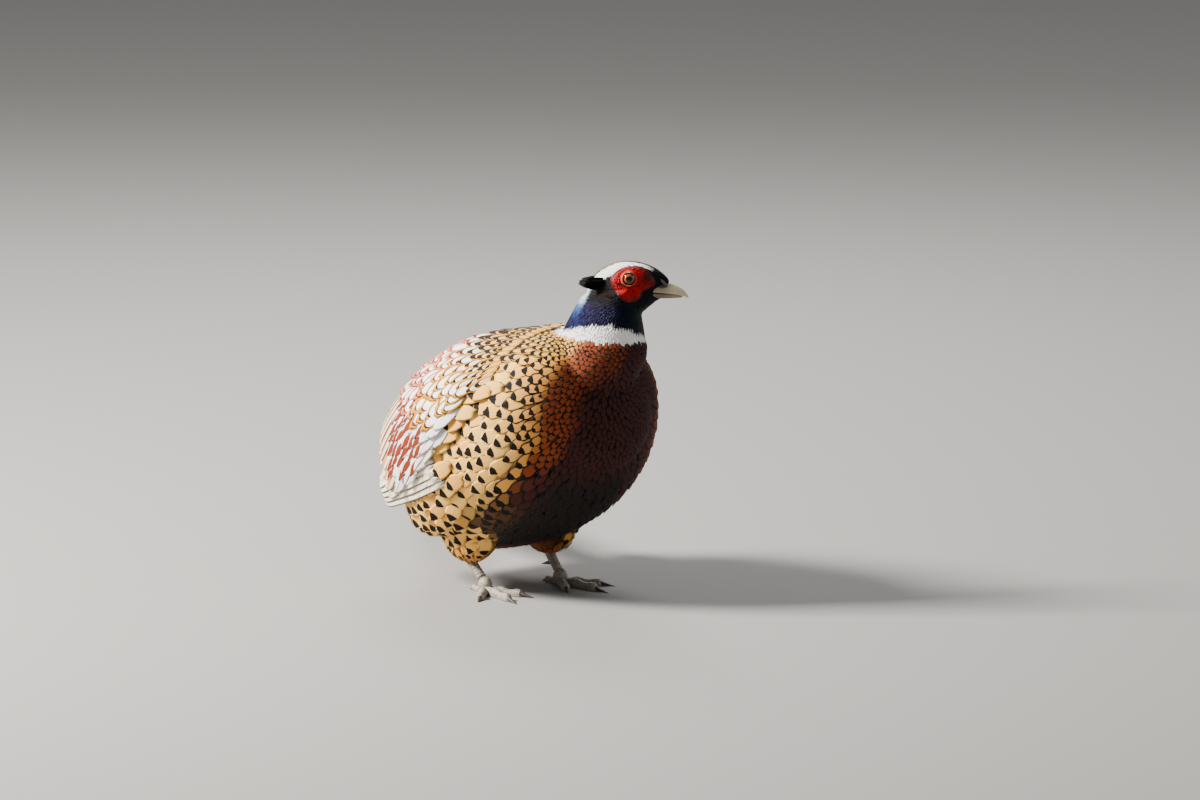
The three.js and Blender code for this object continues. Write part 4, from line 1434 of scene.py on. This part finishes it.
def wattle_foot(side, x, z):
    """Half width of the head under the bare skin, also where the cheek and neck are wider than its rows."""
    far = 40.0
    start = from_head(np.stack([x, far * side + 0 * x, z], -1))
    inward = Vector(head_way(0, -side, 0))
    depth = [skin_tree.ray_cast(Vector(p), inward, far)[3] or far for p in start]
    return np.maximum(head_side(x, z), 1.0 + far - np.array(depth))


def wattle_height(x, z, radius, share):
    """How far the bare skin stands out from the head's side, and how pebbly it is there."""
    lid = np.exp(-(((radius - 5.5) / 0.75) ** 2)) * 1.3
    well = smooth(EYE["hole"] - radius, 0, 0.7) * 6.0
    near = smooth(radius, 6.0, 7.4) * (1 - smooth(share, 0.92, 1.0))
    pebble = np.array([wattle_cell(a, b) for a, b in zip(x, z)])
    base = 0.2 + 1.0 * smooth(1 - share, 0, 0.24)
    return base + lid - well + near * pebble


def wattle_cell(x, z):
    distance, _ = noise.voronoi(Vector((x * 1.1, z * 1.1, 3.0)))
    return 0.55 * (1 - min(1.0, distance[0] / 0.62) ** 2) - 0.2


def make_wattle(side):
    def place(station, angle):
        ring = np.arccos(np.abs(station)) / (np.pi / 2)
        radius = wattle_radius(angle) * ring
        x, z = radius * np.cos(angle), radius * np.sin(angle)
        raised = wattle_height(x, z, radius, ring)
        skin_at = wattle_foot(side, x, z)
        y = np.where(station > 0, skin_at + raised * (1 - ring**14) - 1.2 * ring**14, skin_at - 6)
        return from_head(np.stack([x, side * y, z], -1))

    piece = round_form(f"bare_face_{WORDS[side]}", place, 180, 130)
    x, y, z = to_head(coordinates(piece.data)).T
    radius = np.hypot(x, z)
    angle = np.arctan2(z, x)
    share = radius / wattle_radius(angle)
    deep = np.abs(y) - wattle_foot(side, x, z) - smooth(1 - share, 0, 0.24)
    shadow = np.exp(-(((x - 14) / 4.6) ** 2) - ((z - 0.6) / 5.4) ** 2)
    below_eye = np.abs(radius - 6.6) + 3 * smooth(np.abs(np.degrees(angle) % 360 - 265) - 46, 0, 8) + 0.3
    blob = np.hypot((x + 7.4) / 2.8, z + 3.9 + 0.12 * (x + 7.4))
    dark_line = np.minimum(below_eye, blob * 0.75)
    painted(piece, layered(
        tint(196, 6, 4),
        # Darker where the skin lies low, between the pebbles and towards the rim: painted shade.
        (tint(92, 5, 6), 1 - smooth(deep, -0.1, 0.35)),
        (tint(44, 6, 8), shadow * 0.85),
        (tint(172, 88, 58), 1 - smooth(np.abs(radius - 5.3), 0.3, 0.7)),
        (tint(14, 14, 26), 1 - smooth(dark_line, 0.5, 1.0)),
        (tint(28, 16, 18), smooth(EYE["hole"] - radius, 0, 0.3)),
    ))
    settle(piece, wattle_finish, "wattle_skin", f"wattle_{WORDS[side]}")


def wattle_build(n):
    grain = n.noise(n.place(), 2600.0)
    colour = n.mix(grain * 0.3, *n.colours("ground"), tint(170, 40, 40), "MULTIPLY")
    return colour, grain * 0.2 + 0.42, n.bump(grain, 0.4, 0.0002)


wattle_finish = new_finish("wattle_skin", wattle_build, specular_ior_level=0.14)


def make_eye(side):
    def place(station, angle):
        ring = np.sqrt(np.maximum(0, 1 - station**2))
        cornea = 0.35 * smooth(station, 0.68, 0.9)
        reach = EYE["radius"] + cornea - 0.3
        spot = [ring * np.cos(angle), side * station, ring * np.sin(angle)]
        return from_head(np.stack(spot, -1) * reach[:, None] + np.array([0, side * EYE["side"], 0]))

    piece = round_form(f"eyeball_{WORDS[side]}", place, 96, 120)
    x, _, z = to_head(coordinates(piece.data)).T
    radius = np.hypot(x, z)
    angle = np.arctan2(z, x)
    fibre = 0.5 + 0.5 * np.sin(angle * 37 + 3 * np.sin(angle * 11))
    painted(piece, layered(
        tint(126, 62, 30),
        (tint(84, 38, 20), fibre * 0.6),
        (tint(48, 22, 14), smooth(radius, 3.4, 4.8)),
        (tint(168, 98, 48), (1 - smooth(np.abs(radius - 3.1), 0.1, 0.5)) * 0.5),
        (tint(6, 5, 6), 1 - smooth(radius, 2.45, 2.7)),
    ))
    settle(piece, eye_finish, "eye", f"eye_{WORDS[side]}")


def eye_build(n):
    fibre = n.noise(n.place(), 5000.0, 2.0)
    return n.mix(fibre * 0.35, *n.colours("ground"), tint(60, 24, 12), "MULTIPLY"), 0.25, None


eye_finish = new_finish("eye_wet", eye_build, coat_weight=0.8, coat_roughness=0.03, specular_ior_level=0.0)


def horn_build(n):
    grain = n.noise(n.place(), 420.0, 5.0, 0.6)
    colour = n.mix(grain * 0.3, *n.colours("ground"), tint(160, 140, 110), "MULTIPLY")
    return colour, grain * 0.2 + 0.35, n.bump(grain, 0.3, 0.0002)


horn = new_finish("bill_horn", horn_build, subsurface_weight=0.1, subsurface_scale=0.002)


def nostril_flap(side):
    """The soft flap over a nostril, a small long ball laid along the bill's slope."""
    ahead, aside, up = FLAP["at"]
    flap = round_form("flap", ball_form((0, 0, 0), FLAP["radii"], 0), 32, 20)
    c, s = math.cos(FLAP["slope"]), math.sin(FLAP["slope"])
    x, y, z = coordinates(flap.data).T
    y = y - side * FLAP["turn"] * x
    move_to(flap.data, from_head(np.stack([c * x - s * z + ahead, y + side * aside, s * x + c * z + up], -1)))
    return flap


def make_bill():
    upper = round_form("bill_top", station_form(UPPER_BILL_ROWS, UPPER_BILL_SHAPE), 64, 72)
    upper = joined([upper, nostril_flap(RIGHT), nostril_flap(LEFT)], "bill_top")
    lower = round_form("bill_bottom", station_form(LOWER_BILL_ROWS, LOWER_BILL_SHAPE), 64, 64)
    # The lower bill takes the upper's colours at 0.42 of their brightness: painted shade under the upper
    # bill.
    for piece, node, light in ((upper, "bill_upper", 1), (lower, "bill_lower", 0.42)):
        x, y, z = to_head(coordinates(piece.data)).T
        flap = 1 - smooth(np.hypot(x - FLAP["at"][0], z - FLAP["at"][2]), 4.8, 6)
        # The slit is the nostril's opening, painted dark: painted shade in an opening the mesh doesn't have.
        slit = 1 - smooth(np.hypot((x - 28.6) / 3.0, (z + 8.0) / 0.8), 0.6, 1.1)
        painted(piece, layered(
            blend(tint(222, 208, 172), tint(172, 156, 130), 1 - smooth(x, 26, 38)) * light,
            (tint(70, 68, 64), flap * 0.9),
            (tint(40, 28, 22), slit * smooth(np.abs(y), 2, 4)),
        ))
        settle(piece, horn, "bill", node)


def make_ear_tuft(side):
    random = np.random.default_rng(200 + side)
    count = 110
    profile = [(0, 0.5), (0.25, 0.9), (0.6, 1.0), (0.9, 0.9), (1.0, 0.6)]
    s = np.array([p[0] for p in profile])
    turn = random.uniform(0, 2 * np.pi, count)
    out = np.sqrt(random.random(count))
    off, depth = out * np.cos(turn), out * np.sin(turn)
    reach = 21 - 5.0 * out**2 - 2.0 * random.random(count) ** 2
    x = -17 - (reach[:, None] + 2.5) * s
    y = 11.6 + depth[:, None] * (1.8 + 0.2 * s) + 6.4 * s - 2.2 * s**2
    lie = -4.6 if side == RIGHT else -7.6
    z = lie + off[:, None] * (3.8 + 1.4 * s - 1.8 * s**2) + 0.6 * s
    middle = from_head(np.stack([x, side * y, z], -1))
    along = unit(np.gradient(middle, axis=1))
    lean = np.radians(random.normal(0, 26, count))
    up = head_way(0 * lean, -0.25 * side + np.sin(lean), np.cos(lean))[:, None, :]
    across = unit(up - dot(up, along) * along)
    lines = (middle, across, unit(np.cross(across, along)) * side)
    colour = blend(PAINT["black"] * 0.6, "blue", random.random(count) * 0.3)
    values = paint(random, count, colour)
    place = np.stack([0.5 + 0.45 * off, 0.5 + 0.45 * depth], 1)
    piece = vanes(f"ear_feathers_{WORDS[side]}", lines, np.full(count, 1.5), profile, 5, values, place, 210,
                  round_tip=0.3, cup=0.2, thick=0.2, bow=30.0)
    settle(piece, face, "ear_tuft", f"ear_tuft_{WORDS[side]}")


make_bill()
for side in (RIGHT, LEFT):
    make_wattle(side)
    make_eye(side)
    make_ear_tuft(side)


# Legs and feet

def scutes(t, angle, count, front):
    """Relief of overlapping scales along a limb: wide plates on its front, small ones behind."""
    saw = (t * count) % 1
    plate = 0.35 * saw**3 + 0.1 * saw
    cell = 0.18 * (np.sin(t * count * 2 * np.pi * 1.7) * np.sin(angle * 9) ** 2)
    return np.where(front, plate, cell)


def limb_of(station, steepness):
    """The share of a limb's length at a station of its ball, and how full it is there."""
    t = np.arccos(np.clip(-station, -1, 1)) / np.pi
    return t, np.minimum(1, np.sqrt(np.maximum(0, 1 - station**2)) * steepness)


def make_leg(side):
    low = np.array([LEG["ankle_x"], side * LEG["side"], LEG["ankle_z"]])
    high = np.array([LEG["knee_x"], side * (LEG["side"] + 5), LEG["knee_z"]])
    along = unit(high - low)
    across = unit(np.array([0, 1.0, 0]) - along * along[1])
    ahead = np.cross(across, along)
    ahead = ahead if ahead[0] > 0 else -ahead

    def place(station, angle):
        t, ring = limb_of(station, 4)
        relief = scutes(t, angle, 24, np.cos(angle) > -0.2)
        ring_y = (3.7 + 1.4 * t + relief) * ring
        ring_x = (3.2 + 1.2 * t + relief) * ring
        spot = low + (high - low) * t[:, None]
        return spot + across * (ring_y * np.sin(angle))[:, None] + ahead * (ring_x * np.cos(angle))[:, None]

    way = unit(np.array([-0.84, -0.46 * side, -0.22]))
    foot_of_spur = low + (high - low) * 0.17
    sideways = unit(np.cross(way, along))
    third = np.cross(way, sideways)

    def spur(station, angle):
        t = (station + 1) / 2
        radius = 2.6 * (1 - t) ** 0.8 * np.minimum(1, (1 + station) * 30)
        spot = foot_of_spur + way * (12 * t)[:, None]
        return spot + sideways * (radius * np.cos(angle))[:, None] + third * (radius * np.sin(angle))[:, None]

    shank = round_form(f"leg_{WORDS[side]}", place, 48, 170)
    spike = round_form(f"spur_{WORDS[side]}", spur, 20, 16)
    for piece, colour in ((shank, LEG_COLOUR), (spike, tint(96, 86, 74))):
        painted(piece, colour)
        settle(piece, leg_skin, "leg_scales", f"shank_{WORDS[side]}")
    make_foot(side)


def leg_build(n):
    cells = n.cells(n.place(), 700.0)
    grain = n.noise(n.place(), 500.0, 4.0)
    dark = n.mix(n.step(cells, 0.45, 0.8), *n.colours("ground"), tint(92, 82, 72))
    return n.mix(grain * 0.4, dark, tint(170, 158, 140)), grain * 0.2 + 0.42, n.bump(cells, 0.35, 0.0003)


leg_skin = new_finish("leg_scales", leg_build)
LEG_COLOUR = tint(142, 134, 120)


def make_foot(side):
    out = side * math.radians(8)
    spread = math.radians(34)
    toes = [  # length, half width, height and heading
        (58, 4.0, 7.4, out), (46, 3.8, 7.0, out + spread), (43, 3.8, 7.0, out - spread),
        (24, 3.0, 5.6, math.pi + out * 0.4),
    ]
    at = np.array([LEG["ankle_x"], side * LEG["side"], 0])
    flesh = [round_form("ankle", ball_form(at + [0, 0, 7.0], (6.6, 5.6, 6.9), 0), 32, 24)]
    claws = []
    for length, half, height, heading in toes:

        def toe(station, angle):
            t, ring = limb_of(station, 3.4)
            s = 0.8 * t
            pads = 1 + 0.12 * np.cos(s * 6 * np.pi)
            top = np.cos(angle) > 0
            girth = (1 - 0.35 * s) * pads * ring
            relief = np.where(top, scutes(t, angle, length / 2.6, top), 0.08 * np.sin(angle * 14)) * ring
            y = (half * girth + relief) * np.sin(angle)
            upward = np.maximum(0, np.cos(angle) * 1.02 + 0.42) / 1.44
            z = 0.15 + upward * (height * girth + relief)
            return turned(np.stack([s * length, y, z], -1), heading, at)

        def claw(station, angle):
            t = (station + 1) / 2
            s = 0.74 + 0.27 * t
            ring = np.minimum(1, (1 + station) * 12) * (1 - t) ** 0.75
            y = 0.5 * half * ring * np.sin(angle)
            z = 0.2 + 0.62 * height * ring * (0.5 + 0.5 * np.cos(angle)) * (1 - 0.5 * t)
            return turned(np.stack([s * length, y, z], -1), heading, at)

        flesh.append(round_form("toe", toe, 40, 110))
        claws.append(round_form("claw", claw, 20, 24))
    parts = {"toes": (flesh, LEG_COLOUR, leg_skin), "claws": (claws, tint(66, 56, 48), horn)}
    for name, (forms, colour, material) in parts.items():
        piece = joined(forms, f"{name}_{WORDS[side]}")
        painted(piece, colour)
        settle(piece, material, "leg_scales", f"foot_{WORDS[side]}")


for side in (RIGHT, LEFT):
    make_leg(side)


# Camera, floor and light

PHOTO_SIZE = np.array([1200.0, 800.0])
EYE_PIXEL = np.array([629.0, 278.5])  # where the right eye's middle is in the photo
CAMERA = {
    "azimuth": math.radians(55), "elevation": math.radians(9), "distance": 8000.0, "focal_pixels": 10000.0,
}


def set_camera():
    """Stands the camera so that the right eye is where it is in the photo."""
    azimuth, elevation, distance, focal = CAMERA.values()
    right = np.array([math.cos(azimuth), math.sin(azimuth), 0.0])
    level = np.array([math.sin(azimuth), -math.cos(azimuth), 0.0])
    toward = level * math.cos(elevation) + np.array([0, 0, math.sin(elevation)])
    up = np.cross(toward, right)
    across, below = (EYE_PIXEL - PHOTO_SIZE / 2) * distance / focal
    at = (EYE_RIGHT + SHIFT + toward * distance - right * across + up * below) * METRE
    data = bpy.data.cameras.new("camera")
    data.sensor_width = 36.0
    data.lens = data.sensor_width * focal / PHOTO_SIZE[0]
    data.clip_end = 100.0
    camera = new_object("camera", data)
    camera.matrix_world = Matrix([*np.stack([right, up, toward, at], 1), (0, 0, 0, 1)])
    bpy.context.scene.camera = camera


LAMPS_AIM = Vector((0, 0, 0.12))


def area_light(name, place, size, energy, colour=(1, 1, 1)):
    data = bpy.data.lights.new(name, "AREA")
    data.size = size
    data.energy = energy
    data.color = colour
    lamp = new_object(name, data)
    lamp.location = place
    lamp.rotation_euler = (LAMPS_AIM - lamp.location).to_track_quat("-Z", "Y").to_euler()


def set_studio():
    build = bmesh.new()
    bmesh.ops.create_grid(build, x_segments=1, y_segments=1, size=12)
    floor = new_object("floor", finished_mesh(build, "floor"))
    floor.data.materials.append(new_finish("pale_floor", lambda n: (tint(140, 138, 135), 0.9, None)))
    area_light("key", (-0.75, -1.85, 1.7), 0.7, 320, (1.0, 0.97, 0.92))
    area_light("fill", (1.3, 1.7, 0.9), 1.4, 8, (0.92, 0.96, 1.0))
    area_light("rim", (-1.3, 0.9, 1.6), 0.9, 40)
    world = bpy.data.worlds.new("studio")
    world.use_nodes = True
    sky = world.node_tree.nodes["Background"].inputs
    sky["Color"].default_value = (0.82, 0.86, 0.9, 1)
    sky["Strength"].default_value = 0.34
    bpy.context.scene.world = world


set_camera()
set_studio()
